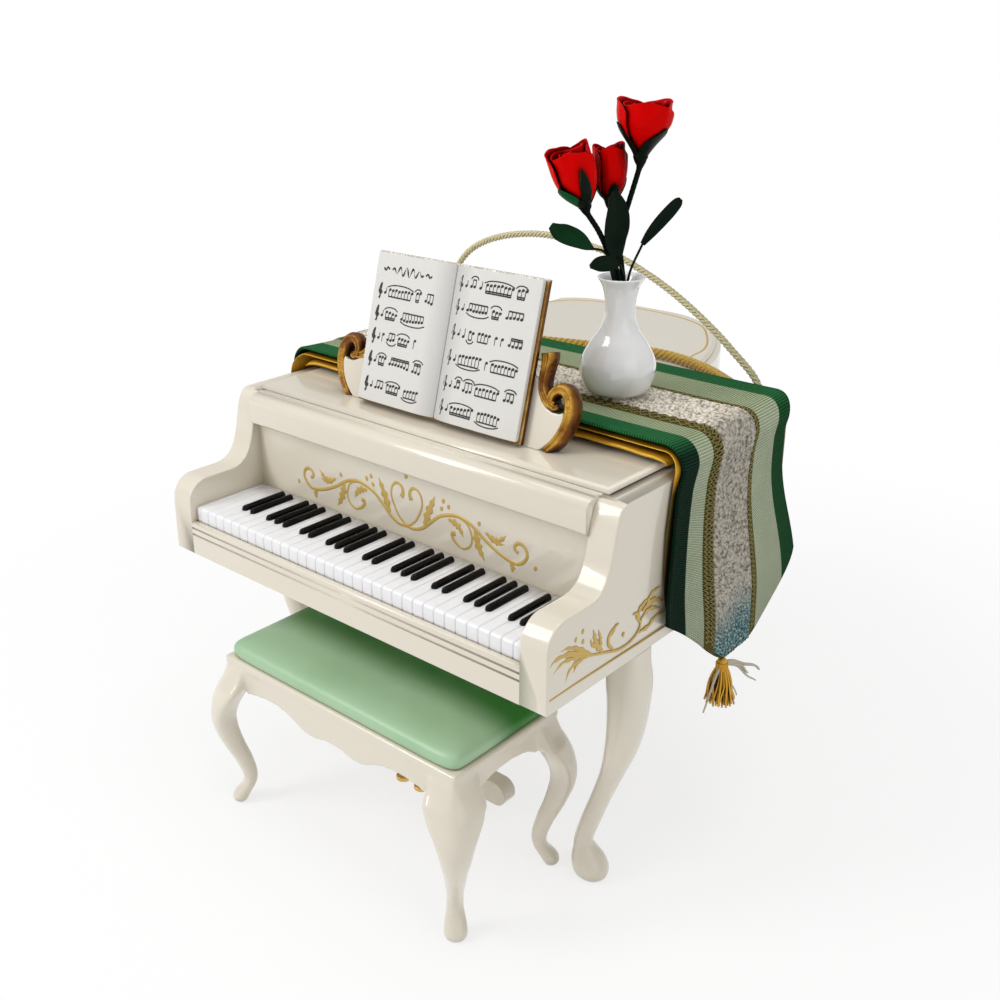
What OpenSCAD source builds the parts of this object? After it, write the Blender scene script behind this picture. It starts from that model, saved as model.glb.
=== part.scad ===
// Miniature grand piano with its bench, music book, table runner and a vase of roses.
// Millimetres. X to the treble side, Y from the keys to the tail, Z up, floor at z = 0.

/* [Case] */
// Width over both side panels
case_w = 84; // [80:1:90]
// Length from the key slip to the end of the tail
case_len = 113; // [108:1:122]
// Height of the underside above the floor
underside_z = 46; // [44:0.5:50]
// Height of the side panels
case_h = 26; // [25:0.5:29]
// Thickness of each side panel
side_t = 4.8; // [3.6:0.2:5.6]
// Length of the straight treble side
treble_len = 64.5; // [63:0.5:67]
// Radius of the tail corner on the bass side
tail_r = 14; // [10:1:18]
// Thickness of the lid
lid_t = 1; // [0.8:0.1:1.6]
// How far the lid stays in from the tail's edge
lid_inset = 1.2; // [0.8:0.1:1.4]
// How far the lid stays in from the straight sides
lid_side = 3.8; // [3.2:0.1:4.4]

/* [Keyboard] */
// Depth of the well in front of the fallboard
well_d = 16.4; // [15.6:0.2:17.4]
// Height of the arms above the underside
arm_h = 13.4; // [12.4:0.2:14.6]
// Thickness of the keybed
keybed_t = 5.5; // [4.5:0.5:6]
// Height of the white keys
key_h = 3.1; // [2.4:0.1:3.6]
// Number of white keys
white_count = 34; // [32:1:36]
// Number of white keys before the first black one
first_black = 3; // [1:1:6]
// Space between keys
key_gap = 0.12; // [0.08:0.02:0.2]
// Width of a black key
black_w = 1.2; // [0.9:0.05:1.3]
// Length of a black key
black_len = 9.4; // [8:0.2:10.4]
// Height of a black key above the white ones
black_h = 0.9; // [0.6:0.1:1.4]
// Thickness of the key slip
slip_t = 1.1; // [0.8:0.1:1.4]
// Thickness of the fallboard
fallboard_t = 1.2; // [0.8:0.1:2]
// Height of the nosing above the fallboard
nosing_h = 5.4; // [4.6:0.2:6.4]
// How far the nosing stands out over the keys
nosing_out = 2; // [1.4:0.2:3]

/* [Piano legs] */
// Half the width of a leg where it meets the case
leg_top = 2.6; // [2.2:0.1:3]
// Distance of the front legs from the key slip
front_leg_y = 24; // [22:1:30]
// Distance of the tail leg from the key slip
tail_leg_y = 99; // [92:1:101]
// Distance of the tail leg from the middle, to the bass side
tail_leg_x = 18; // [14:1:22]
// Width of the base of the pedal lyre
lyre_w = 28; // [22:1:32]
// Distance of the pedal lyre from the key slip
lyre_y = 26.5; // [26:0.5:30]
// Reach of the pedals
pedal_reach = 8; // [5:0.5:9]

/* [Music desk and book] */
// Lean of the desk and the book
desk_tilt = 14.8; // [10:0.2:18]
// Half the width of the desk over its scrolls
desk_half = 27.2; // [25:0.2:30]
// Thickness of the desk
desk_t = 1; // [0.8:0.1:1.2]
// Width of the open book
book_w = 36; // [32:1:40]
// Height of the book
book_h = 25.5; // [22:0.5:30]
// Thickness of the book
book_t = 1.9; // [1.5:0.1:2.1]
// Distance of the book's foot from the key slip
book_y = 21.8; // [20.8:0.2:24]

/* [Runner] */
// Width of the runner across the lid
runner_w = 33.7; // [30:0.1:34.5]
// Distance of the runner's front edge from the key slip
runner_y = 30; // [29:0.2:30.4]
// Thickness of the cloth
cloth_t = 0.5; // [0.3:0.1:0.8]
// Thickness of the folded lining under it
lining_t = 3.1; // [2:0.1:3.4]
// How far each end hangs down
hang_len = 37; // [34:1:42]
// Diameter of the braid behind the runner
braid_d = 2; // [1.4:0.1:2.4]

/* [Vase and roses] */
// Height of the vase
vase_h = 19.4; // [17:0.2:22]
// Largest radius of the vase
vase_r = 6.2; // [5.4:0.1:7]
// Radius of the vase's neck
neck_r = 2.5; // [2.4:0.1:3]
// Wall of the vase
vase_wall = 0.7; // [0.5:0.05:0.8]
// Diameter of a rose stem
stem_d = 0.9; // [0.7:0.05:1]

/* [Bench] */
// Length of the bench
bench_w = 54.6; // [50:0.2:58]
// Depth of the bench
bench_d = 25.2; // [22:0.2:26]
// Height of the bench frame above the floor
bench_h = 30.4; // [28:0.2:32]
// Thickness of the aprons
apron_t = 2.2; // [1.6:0.1:2.8]
// Thickness of the board under the seat
board_t = 1.3; // [1:0.1:2]
// Thickness of the seat cushion at its middle
seat_t = 4.2; // [3:0.1:5]

/* [Hidden] */
$fn = 48;
// Clearance between pieces that lift or slide apart
loose = 0.3;

case_top = underside_z + case_h;
lid_top = case_top + lid_t;
half_w = case_w / 2;
well_half = half_w - side_t;
core_y = well_d + fallboard_t;
keybed_top = underside_z + keybed_t;
key_top = keybed_top + key_h;
bass_strip = 1.13;
key_pitch = (2 * well_half - bass_strip) / white_count;
first_key_x = -well_half + bass_strip;
nosing_z = case_top - nosing_h;
lid_y = core_y + 0.8;
desk_x = 0.4;
runner_mid = runner_y + runner_w / 2;
runner_rear = runner_y + runner_w;
lining_top = lid_top + lining_t;
runner_top = lining_top + cloth_t;
vase_x = 20.6;
vase_y = runner_mid - 1.8;
vase_z = runner_top + loose;
bench_y = 10;
bench_post = 2.5;
// Direction in which the bouquet spreads
bouquet_turn = 42;

// Rows of a bench leg from the floor up: share of its height, outward move along the
// diagonal, half width, and how square the ring is
bench_leg_rows = [
    [0, 2.9, 1.2, 2], [0.03, 2.9, 1.6, 2], [0.07, 2.3, 1.6, 2], [0.11, 1.4, 1.4, 2],
    [0.16, 0.85, 1.3, 2], [0.22, 1.0, 1.45, 2], [0.32, 2.0, 1.7, 2], [0.42, 3.3, 1.9, 2],
    [0.54, 4.45, 2.1, 2.1], [0.63, 4.7, 2.2, 2.3], [0.73, 4.0, 2.4, 2.8],
    [0.83, 2.5, 2.6, 4], [0.91, 1.0, 2.6, 6], [1, 0, bench_post, 9]
];
post_x = bench_w / 2 - bench_post - 0.1;
post_y = bench_d / 2 - bench_post - 0.1;
leg_reach = max([for (row = bench_leg_rows) row[1] / sqrt(2) + row[2]]);
// The origin lies under the middle of the whole set, from the bench's front feet to the tail
origin_y = (case_len + bench_y - post_y - leg_reach) / 2;

// Colours
ivory = [0.87, 0.85, 0.79];
gold = [0.8, 0.6, 0.15];
green = [0.03, 0.15, 0.09];

// Route of the hanging loop, as steps from the middle of the lid behind the runner.
// It stands on the lid at both ends.
loop_y = min(runner_rear + 0.9, treble_len + 0.1);
loop_r = 0.65;
loop_route = [
    [-33.5, 0], [-34.2, 3], [-34.3, 5.4], [-33.9, 9], [-32.7, 13.4], [-30.3, 16.9],
    [-27, 19.5], [-22.1, 21.6], [-16.2, 23], [-9.4, 23.6], [-1.5, 23], [6.4, 21.6],
    [12.3, 19.5], [17.2, 17.3], [22, 14.6], [27, 11.3], [30.6, 8.5], [33.5, 6.2],
    [35, 4.7], [35.9, 3.2], [36.2, 1.6], [36.2, 0]
];
// Route of the braid on the lid, as steps behind the runner's rear edge
braid_route = [
    [-31, 2.7], [-28, 3.7], [-21, 5.9], [-14, 8.1], [-7, 10.5], [0, 13.1],
    [6, 14.5], [11, 14.3], [16, 12.9], [21, 10.7], [26, 7.5], [30, 4.5], [34, 1.1]
];

// ---- Curves ----

// Point at t on a cubic curve from a to d with handles b and c
function cubic(a, b, c, d, t) =
    pow(1 - t, 3) * a + 3 * t * pow(1 - t, 2) * b + 3 * t * t * (1 - t) * c + pow(t, 3) * d;
// n steps along that curve, without its first point
function curve(a, b, c, d, n) = [for (i = [1:n]) cubic(a, b, c, d, i / n)];
// n steps of an arc, both ends included
function arc(centre, r, from, to, n) =
    [for (i = [0:n]) let (t = from + (to - from) * i / n) centre + r * [cos(t), sin(t)]];
function unit(v) = v / norm(v);
// Closed outline moved inwards by d; it runs anticlockwise
function inset(path, d) = [
    for (i = [0:len(path) - 1])
        let (
            last = path[(i + len(path) - 1) % len(path)],
            next = path[(i + 1) % len(path)],
            u = unit(path[i] - last),
            v = unit(next - path[i]),
            m = [-u.y - v.y, u.x + v.x]
        )
        path[i] + d * m / (1 + u * v)
];
// Smooth step from 0 to 1 between a and b
function ease(x, a, b) =
    let (t = min(1, max(0, (x - a) / (b - a)))) t * t * (3 - 2 * t);

// Moves what is measured from the key slip to the origin of the whole set
module placed() {
    translate([0, -origin_y, 0])
        children();
}

// ---- Skins ----

// Skin over rings of points, all with the same count, closed by a fan at each end
module loft(rings) {
    n = len(rings[0]);
    last = len(rings) - 1;
    polyhedron(
        [for (ring = rings) each ring],
        concat(
            [for (i = [0:last - 1], j = [0:n - 1])
                [i * n + j, (i + 1) * n + j, i * n + (j + 1) % n]],
            [for (i = [0:last - 1], j = [0:n - 1])
                [i * n + (j + 1) % n, (i + 1) * n + j, (i + 1) * n + (j + 1) % n]],
            [for (j = [1:n - 2]) [0, j, j + 1]],
            [for (j = [1:n - 2]) [last * n, last * n + j + 1, last * n + j]]
        )
    );
}

// Plate between two grids of points; front is the side whose rows and columns turn clockwise
module plate(front, back) {
    rows = len(front);
    cols = len(front[0]);
    step = rows * cols;
    rim = concat(
        [for (j = [0:cols - 1]) j],
        [for (i = [1:rows - 1]) i * cols + cols - 1],
        [for (j = [cols - 2:-1:0]) (rows - 1) * cols + j],
        [for (i = [rows - 2:-1:1]) i * cols]
    );
    polyhedron(
        [for (side = [front, back]) for (row = side) each row],
        concat(
            [for (i = [0:rows - 2], j = [0:cols - 2])
                [i * cols + j, i * cols + j + 1, (i + 1) * cols + j]],
            [for (i = [0:rows - 2], j = [0:cols - 2])
                [i * cols + j + 1, (i + 1) * cols + j + 1, (i + 1) * cols + j]],
            [for (i = [0:rows - 2], j = [0:cols - 2])
                [step + i * cols + j, step + (i + 1) * cols + j, step + i * cols + j + 1]],
            [for (i = [0:rows - 2], j = [0:cols - 2])
                [step + i * cols + j + 1, step + (i + 1) * cols + j,
                 step + (i + 1) * cols + j + 1]],
            [for (k = [0:len(rim) - 1])
                [rim[k], step + rim[k], rim[(k + 1) % len(rim)]]],
            [for (k = [0:len(rim) - 1])
                [rim[(k + 1) % len(rim)], step + rim[k], step + rim[(k + 1) % len(rim)]]]
        )
    );
}

// Direction of a route at its point i
function heading(route, i) =
    unit(route[min(i + 1, len(route) - 1)] - route[max(i - 1, 0)]);
// Tube along a route. wide and thick give its half sizes at each point, across and along side,
// a direction that the route never takes.
module tube(route, wide, thick, side, sides = 8) {
    loft([
        for (i = [0:len(route) - 1])
            let (
                t = heading(route, i),
                u = unit(cross(side, t)),
                v = cross(t, u)
            )
            [for (j = [0:sides - 1])
                let (a = -360 * j / sides)
                route[i] + wide[i] * cos(a) * u + thick[i] * sin(a) * v]
    ]);
}
// Equal half sizes for every point of a route
function even(route, r) = [for (p = route) r];

// ---- Case ----

// Plan of the case: straight bass side, round tail, bent side, straight treble side
bend = [half_w - 8, treble_len + 1.5];
plan = concat(
    [[-half_w, 0], [half_w, 0]],
    curve(
        [half_w, treble_len - 6], [half_w, treble_len - 1], [half_w - 3, treble_len + 1],
        bend, 5
    ),
    curve(
        bend, [28, treble_len + 3], [18.5, case_len - 38],
        [14.8, case_len - 28], 9
    ),
    curve(
        [14.8, case_len - 28], [11, case_len - 14], [1, case_len],
        [-11, case_len], 12
    ),
    arc([-half_w + tail_r, case_len - tail_r], tail_r, 90, 180, 10)
);

module case_body() {
    color(ivory) placed()
        translate([0, 0, underside_z])
            linear_extrude(case_h)
                difference() {
                    polygon(plan);
                    translate([-half_w - 1, -1]) square([case_w + 2, core_y + 1]);
                    translate([well_half, 0]) square([side_t + 1, bend.y]);
                    translate([-half_w - 1, 0]) square([side_t + 1, case_len - tail_r]);
                }
}

// Outline of a side panel seen from the side: rounded arm, hollow curve, upper front
function side_profile(length) = concat(
    [[length, 0], [length, case_h], [core_y + 0.6, case_h]],
    curve(
        [core_y + 0.6, case_h], [well_d, case_h], [well_d - 0.4, case_h - 1.4],
        [well_d - 1, case_h - 3.4], 6
    ),
    curve(
        [well_d - 1, case_h - 3.4], [well_d - 2, arm_h + 5], [well_d - 2.2, arm_h],
        [well_d - 7, arm_h], 10
    ),
    arc([4, arm_h - 4], 4, 90, 180, 8),
    [[0, 0]]
);
module side_panel(length) {
    rotate([90, 0, 90])
        linear_extrude(side_t)
            polygon(side_profile(length));
}
module side_left() {
    color(ivory) placed()
        translate([-half_w, 0, underside_z])
            side_panel(case_len - tail_r);
}
module side_right() {
    color(ivory) placed()
        intersection() {
            translate([well_half, 0, underside_z]) side_panel(bend.y);
            translate([0, 0, underside_z - 1]) linear_extrude(case_h + 2) polygon(plan);
        }
}

module keybed() {
    color(ivory) placed()
        translate([-well_half, slip_t, underside_z])
            cube([2 * well_half, core_y - slip_t, keybed_t]);
}

// Front rail with two beads along its upper edge
module key_slip() {
    bead = 0.35;
    top = keybed_t + 0.5;
    color(ivory) placed()
        translate([-well_half, 0, underside_z])
            rotate([90, 0, 90])
                linear_extrude(2 * well_half)
                    difference() {
                        polygon(concat(
                            [[slip_t, 0], [slip_t, top]],
                            arc([bead, top - bead], bead, 90, 180, 5),
                            [[0, 0]]
                        ));
                        for (z = [top - 1.0, top - 2.2])
                            translate([0, z]) circle(bead / 2);
                    }
}

// Keys from the bass; a plain strip fills the space left of the first key
module white_keys() {
    front = slip_t + 0.1;
    color([0.94, 0.94, 0.94]) placed() {
        for (i = [0:white_count - 1])
            translate([first_key_x + i * key_pitch + key_gap / 2, front, keybed_top])
                cube([key_pitch - key_gap, well_d - front, key_h]);
        translate([-well_half, front, keybed_top])
            cube([bass_strip - key_gap / 2, well_d - front, key_h]);
    }
}

// One black key with round ends
module black_key() {
    r = black_w / 2;
    linear_extrude(black_h) {
        translate([-r, r]) square([black_w, black_len - black_w]);
        translate([0, r]) circle(r);
        translate([0, black_len - r]) circle(r);
    }
}
// The black keys stand over the seams of the white ones, in twos and threes
module black_keys() {
    color([0.05, 0.05, 0.05]) placed()
        for (i = [0:white_count - 2 - first_black]) {
            step = i % 7;
            if (step != 2 && step != 6)
                translate([
                    first_key_x + (first_black + i) * key_pitch,
                    well_d - 1.4 - black_len,
                    key_top
                ])
                    black_key();
        }
}

module fallboard() {
    color(ivory) placed()
        translate([-well_half, well_d, keybed_top])
            cube([2 * well_half, fallboard_t, nosing_z - keybed_top]);
}

// Moulded rail over the fallboard: round front, then a step back to the lid
module nosing() {
    r = 1.6;
    front = well_d - nosing_out;
    color(ivory) placed()
        translate([-well_half, 0, nosing_z])
            rotate([90, 0, 90])
                linear_extrude(2 * well_half)
                    polygon(concat(
                        [[core_y, 0], [core_y, nosing_h + 0.2]],
                        [[core_y - 1, nosing_h + 0.2], [core_y - 1.2, nosing_h]],
                        arc([front + r, nosing_h - r], r, 90, 180, 6),
                        arc([front + 0.6, 0.6], 0.6, 180, 270, 4)
                    ));
}

module lid() {
    color(ivory) placed()
        translate([0, 0, case_top])
            linear_extrude(lid_t)
                intersection() {
                    polygon(inset(plan, lid_inset));
                    translate([lid_side - half_w, lid_y])
                        square([case_w - 2 * lid_side, case_len]);
                }
}

// ---- Legs ----

// Level ring, square with round corners for a high bend and round for 2
function leg_ring(z, centre, half, bend, stretch = 1) = [
    for (j = [0:15])
        let (
            a = 22.5 * j,
            r = half / pow(pow(abs(cos(a)), bend) + pow(abs(sin(a)), bend), 1 / bend)
        )
        [centre.x + r * cos(a) * stretch, centre.y + r * sin(a), z]
];

// S-curved leg from the floor up; its knee, ankle and toe move along x by out.
// Each row holds a share of the height, a share of the top's half width moved out,
// a share of that half width, and how square the ring is.
piano_leg_rows = [
    [0, -2.04, 0.72, 2], [0.015, -2.08, 1.0, 2], [0.045, -2.15, 1.14, 2],
    [0.08, -2.35, 1.04, 2], [0.11, -2.58, 0.78, 2], [0.145, -2.72, 0.62, 2],
    [0.24, -2.23, 0.65, 2], [0.36, -1.5, 0.66, 2], [0.48, -0.77, 0.77, 2],
    [0.59, -0.23, 1.0, 2.1], [0.69, 0.05, 1.13, 2.4], [0.79, 0.15, 1.18, 3],
    [0.87, 0.11, 1.19, 4], [0.945, 0.03, 1.04, 6], [1, 0, 1, 8]
];
module piano_leg(height) {
    loft([
        for (row = piano_leg_rows)
            leg_ring(
                row[0] * height, [row[1] * leg_top, 0], row[2] * leg_top, row[3],
                row[0] < 0.1 ? 1.12 : 1
            )
    ]);
}
module leg_front_left() {
    color(ivory) placed()
        translate([-half_w + leg_top + 0.2, front_leg_y, 0])
            mirror([1, 0, 0])
                piano_leg(underside_z);
}
module leg_front_right() {
    color(ivory) placed()
        translate([half_w - leg_top - 0.2, front_leg_y, 0])
            piano_leg(underside_z);
}
module leg_tail() {
    color(ivory) placed()
        translate([-tail_leg_x, tail_leg_y, 0])
            rotate([0, 0, 90])
                piano_leg(underside_z);
}

// Frame that carries the pedals: two curved posts between a yoke and the pedal box
module pedal_lyre() {
    post_w = 2.2;
    depth = 3.2;
    box_h = 4.6;
    box_z = 2.4;
    yoke_h = 2.6;
    yoke_half = 6;
    overlap = 0.6;
    box_top = box_z + box_h;
    color(ivory) placed()
        translate([0, lyre_y + depth / 2, 0])
            rotate([90, 0, 0]) {
                for (way = [-1, 1]) {
                    spine = concat(
                        [[way * 3.2, box_top - overlap]],
                        curve(
                            [way * 3.2, box_top], [way * 8, box_top + 5],
                            [way * 6.5, box_top + 14], [way * 3.4, box_top + 20], 10
                        ),
                        curve(
                            [way * 3.4, box_top + 20], [way * 1.6, box_top + 25],
                            [way * 4.5, underside_z - 7],
                            [way * 4.5, underside_z - yoke_h], 8
                        ),
                        [[way * 4.5, underside_z - yoke_h + overlap]]
                    );
                    linear_extrude(depth)
                        polygon(concat(
                            [for (p = spine) p - [post_w / 2, 0]],
                            [for (i = [len(spine) - 1:-1:0]) spine[i] + [post_w / 2, 0]]
                        ));
                    translate([way * (lyre_w - box_h) / 2, box_z + box_h / 2, 0])
                        cylinder(d = box_h, h = depth);
                }
                translate([-yoke_half, underside_z - yoke_h, 0])
                    cube([2 * yoke_half, yoke_h, depth]);
                translate([-lyre_w / 2 + box_h / 2, box_z, 0])
                    cube([lyre_w - box_h, box_h, depth]);
            }
}

// Three brass pedals, each a bar with a round pad
module pedals() {
    pedal_z = 4;
    color([0.72, 0.55, 0.22]) placed()
        for (x = [-4.5, 0, 4.5])
            translate([x, lyre_y - 1.6, pedal_z]) {
                translate([-0.5, -pedal_reach + 1.4, 0])
                    cube([1, pedal_reach - 1.4, 0.9]);
                translate([0, -pedal_reach + 1.4, 0])
                    cylinder(r = 1.4, h = 0.9);
            }
}

// ---- Music desk and book ----

// Places its children on the slope: x along the desk, y into it, z up it
module on_slope(y) {
    rise = book_t * sin(desk_tilt);
    translate([desk_x, y, lid_top + loose + rise])
        rotate([-desk_tilt, 0, 0])
            children();
}
// Band along a line, from half of one width to half of another
function band(line, from, to) =
    let (
        last = len(line) - 1,
        across = [
            for (i = [0:last])
                let (
                    t = unit(line[min(i + 1, last)] - line[max(i - 1, 0)]),
                    w = (from + (to - from) * i / last) / 2
                )
                w * [-t.y, t.x]
        ]
    )
    concat(
        [for (i = [0:last]) line[i] + across[i]],
        [for (i = [last:-1:0]) line[i] - across[i]]
    );

// Outer line of a scroll from its foot up, over the top and into the volute
scroll_line = concat(
    [[desk_half - 6.8, -1.2]],
    curve(
        [desk_half - 6.8, -1.2], [desk_half - 3, 1.2], [desk_half - 0.9, 5],
        [desk_half - 1, 8], 8
    ),
    curve(
        [desk_half - 1, 8], [desk_half - 1.2, 11.4], [desk_half - 4.6, 11.2],
        [desk_half - 4.6, 9], 8
    )
);
// Upper curl that climbs from the volute to the book's edge
curl_line = concat(
    [[desk_half - 3.3, 7.4]],
    curve(
        [desk_half - 3.3, 7.4], [desk_half - 5.2, 5.8], [desk_half - 8.2, 8.4],
        [desk_half - 7.4, 11], 7
    ),
    curve(
        [desk_half - 7.4, 11], [desk_half - 7, 12.6], [desk_half - 8.4, 13.6],
        [desk_half - 8.2, 15.4], 4
    )
);
volute = [desk_half - 3.9, 8.3];
volute_r = 1.7;
module scroll(thick) {
    linear_extrude(thick) polygon(band(scroll_line, 1.4, 2.2));
    linear_extrude(thick) polygon(band(curl_line, 1.9, 2.6));
    translate(volute) cylinder(r = volute_r, h = thick);
}
module board_shape() {
    foot = desk_half - 8;
    polygon(concat(
        [[foot, -3]],
        curve(
            [foot, -3], [desk_half - 3, 0], [desk_half - 1, 6], [desk_half - 4.6, 7.6], 8
        ),
        curve([desk_half - 9, 8.6], [desk_half - 10, 15], [8, 17], [0, 17], 8),
        curve([0, 17], [-8, 17], [-desk_half + 10, 15], [-desk_half + 9, 8.6], 8),
        curve(
            [-desk_half + 4.6, 7.6], [-desk_half + 1, 6], [-desk_half + 3, 0],
            [-foot, -3], 8
        )
    ));
}
// Puts what is drawn flat upright on the slope behind the book, cut off level with the lid
module behind_book() {
    difference() {
        on_slope(book_y)
            translate([0, book_t + loose, 0])
                rotate([90, 0, 0])
                    mirror([0, 0, 1])
                        children();
        translate([-half_w, 0, underside_z])
            cube([case_w, case_len, lid_top - underside_z]);
    }
}
// Board between the scrolls, with a low curved top
module music_desk() {
    color(ivory) placed()
        behind_book()
            difference() {
                linear_extrude(desk_t) board_shape();
                translate([0, 0, -desk_t]) scroll(3 * desk_t);
                mirror([1, 0, 0]) translate([0, 0, -desk_t]) scroll(3 * desk_t);
            }
}
module desk_scroll_left() {
    color([0.6, 0.38, 0.12]) placed()
        behind_book()
            mirror([1, 0, 0]) scroll(desk_t + 0.6);
}
module desk_scroll_right() {
    color([0.6, 0.38, 0.12]) placed()
        behind_book()
            scroll(desk_t + 0.6);
}

// Open cover, flat behind both blocks of pages
module book_cover() {
    cover_t = 0.8;
    color([0.66, 0.47, 0.14]) placed()
        on_slope(book_y)
            linear_extrude(book_h)
                translate([-book_w / 2, book_t - cover_t])
                    square([book_w, cover_t]);
}
// Block of pages that rises from the fold and falls a little to its outer edge
module page_block() {
    cover_t = 0.8;
    block = book_t - cover_t;
    margin = 0.5;
    width = book_w / 2 - margin;
    translate([0, 0, margin / 2])
        linear_extrude(book_h - margin)
            polygon(concat(
                [[0.05, book_t - cover_t], [0.05, book_t - cover_t - block * 0.45]],
                curve(
                    [0.05, block * 0.55], [1.2, 0.1], [3, 0], [5, 0], 6
                ),
                [[width - 3, 0.1], [width, 0.35], [width, block]]
            ));
}
module book_page_right() {
    color([0.95, 0.95, 0.94]) placed()
        on_slope(book_y)
            page_block();
}
module book_page_left() {
    color([0.95, 0.95, 0.94]) placed()
        on_slope(book_y)
            mirror([1, 0, 0])
                page_block();
}

// ---- Runner, lining, tassel, braid and loop ----

// Space for the lining between the case and the hanging cloth
side_gap = 0.6;
corner_r = 3.2;
corner_steps = 5;
corner_x = half_w + side_gap - corner_r;
corner_z = lining_top - corner_r;
// Lining: folded layers on the lid, the uppermost turned down over both sides
module runner_lining() {
    layers = 3;
    layer_t = lining_t / layers;
    down = 22;
    hem_in = 0.8;
    fold_in = 2.6;
    half_fold = concat(
        arc([corner_x, corner_z], corner_r, 90, 0, corner_steps),
        [[half_w + side_gap, lid_top - down]],
        [[half_w, lid_top - down], [half_w, lid_top]],
        [[half_w - fold_in, lid_top]],
        [[half_w - fold_in, lining_top - layer_t]]
    );
    last = len(half_fold) - 1;
    color([0.82, 0.63, 0.12]) placed() {
        for (i = [0:layers - 2])
            translate([-half_w + fold_in, runner_y + hem_in + 0.4 * (1 - i), lid_top + i * layer_t])
                cube([case_w - 2 * fold_in, runner_w - 2 * hem_in - 0.8 * (1 - i), layer_t]);
        translate([0, runner_y + hem_in, 0])
            rotate([90, 0, 0])
                mirror([0, 0, 1])
                    linear_extrude(runner_w - 2 * hem_in)
                        polygon(concat(
                            half_fold,
                            [for (i = [last:-1:0]) [-half_fold[i].x, half_fold[i].y]]
                        ));
    }
}

// Depth of the hanging end at a place across it: deepest a little behind its middle
function hem(v) =
    let (
        peak = 0.58,
        d = v < peak ? (peak - v) / peak : (v - peak) / (1 - peak)
    )
    1 - 0.35 * pow(d, 2.1);
// Front and rear edges of the hanging end at a share of its length
function edge_front(s) = runner_y - 0.8 * ease(s, 0, 0.1) - 1.9 * sin(min(90, 150 * s));
function edge_rear(s) = runner_rear - 2.6 * ease(s, 0, 0.1) + 6.8 * ease(s, 0.12, 0.85);
// Three soft folds that open towards the hem, and the whole end swung out
function fold_out(v, s) =
    0.3 * ease(s, 0.15, 1) * (1 + sin(540 * v - 60)) + 0.4 * ease(s, 0.6, 1);
hang_rows = 11;
hang_cols = 12;
// Cloth over the lid and down both sides; the bass end mirrors the treble one
module runner() {
    function corner(a, lift) =
        [corner_x, corner_z] + (corner_r + cloth_t / 2 + lift) * [cos(a), sin(a)];
    function on_top(x, v, lift) =
        [x, runner_y + runner_w * v, lining_top + cloth_t / 2 + lift];
    function on_turn(i, v, lift) =
        let (p = corner(90 - 90 * i / corner_steps, lift))
        [p.x, runner_y + runner_w * v, p.y];
    function hung(i, v, lift) =
        let (
            depth = i / hang_rows * hem(v) * hang_len,
            s = depth / hang_len
        )
        [
            half_w + side_gap + cloth_t / 2 + lift + fold_out(v, s),
            edge_front(s) + (edge_rear(s) - edge_front(s)) * v,
            corner_z - depth
        ];
    function half_side(lift) = concat(
        [for (i = [0:corner_steps]) [for (j = [0:hang_cols]) on_turn(i, j / hang_cols, lift)]],
        [for (i = [1:hang_rows]) [for (j = [0:hang_cols]) hung(i, j / hang_cols, lift)]]
    );
    function side(lift) =
        let (half = half_side(lift))
        concat(
            [for (i = [len(half) - 1:-1:0]) [for (p = half[i]) [-p.x, p.y, p.z]]],
            [for (x = [-12, 12]) [for (j = [0:hang_cols]) on_top(x, j / hang_cols, lift)]],
            half
        );
    color([0.35, 0.5, 0.3]) placed()
        plate(side(cloth_t / 2), side(-cloth_t / 2));
}

// Tassel under the lowest point of a hanging end: a bound head and a skirt of threads
module tassel() {
    tip = 0.42;
    top = 0.5;
    translate([
        half_w + side_gap + cloth_t / 2 + fold_out(tip, hem(tip)),
        edge_front(hem(tip)) + (edge_rear(hem(tip)) - edge_front(hem(tip))) * tip,
        corner_z - hang_len * hem(tip) + top - 8.6
    ])
        rotate_extrude()
            polygon([
                [0, 0], [2.5, 0.3], [2.2, 2.4], [1.7, 4.8], [1, 6.6], [0.8, 7.1],
                [1.1, 7.6], [0.8, 8.2], [0, 8.6]
            ]);
}
module tassel_right() {
    color(gold) placed()
        tassel();
}
module tassel_left() {
    color(gold) placed()
        mirror([1, 0, 0])
            tassel();
}

module braid() {
    r = braid_d / 2;
    route = [for (p = braid_route) [p.x, runner_rear + p.y, lid_top + r]];
    color(gold) placed()
        tube(route, even(route, r), even(route, r), [0, 0, 1]);
}

module hanging_cord() {
    route = [for (p = loop_route) [p.x, loop_y, lid_top + p.y]];
    color([0.75, 0.65, 0.35]) placed()
        tube(route, even(route, loop_r), even(route, loop_r), [0, 1, 0]);
}

// ---- Vase and roses ----

// Outer and inner lines of the vase from the foot to the lip
function vase_line(in) = concat(
    [[2.7 - in, 0]],
    curve([2.7 - in, 0], [vase_r - 1 - in, 0.9], [vase_r - in, 2.4], [vase_r - in, 4.7], 8),
    curve(
        [vase_r - in, 4.7], [vase_r - in, 8.4], [neck_r - in, 8.6],
        [neck_r - in, vase_h - 6.8], 8
    ),
    curve(
        [neck_r - in, vase_h - 6.8], [neck_r - in, vase_h - 3.4],
        [neck_r + 0.6 - in, vase_h - 1.4], [neck_r + 1.3 - in, vase_h], 6
    )
);
module vase() {
    floor_t = 1.2;
    inner = [for (p = vase_line(vase_wall)) if (p.y > floor_t) p];
    color([0.93, 0.93, 0.94]) placed()
        translate([vase_x, vase_y, vase_z])
            rotate_extrude()
                polygon(concat(
                    [[0, 0]],
                    vase_line(0),
                    [for (i = [len(inner) - 1:-1:0]) inner[i]],
                    [[inner[0].x - 1, floor_t], [0, floor_t]]
                ));
}

// Places its children over the vase's mouth: x across the bouquet, y to its back
module bouquet() {
    translate([vase_x, vase_y, vase_z + vase_h])
        rotate([0, 0, bouquet_turn])
            children();
}
foot_up = 1.6;
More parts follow.
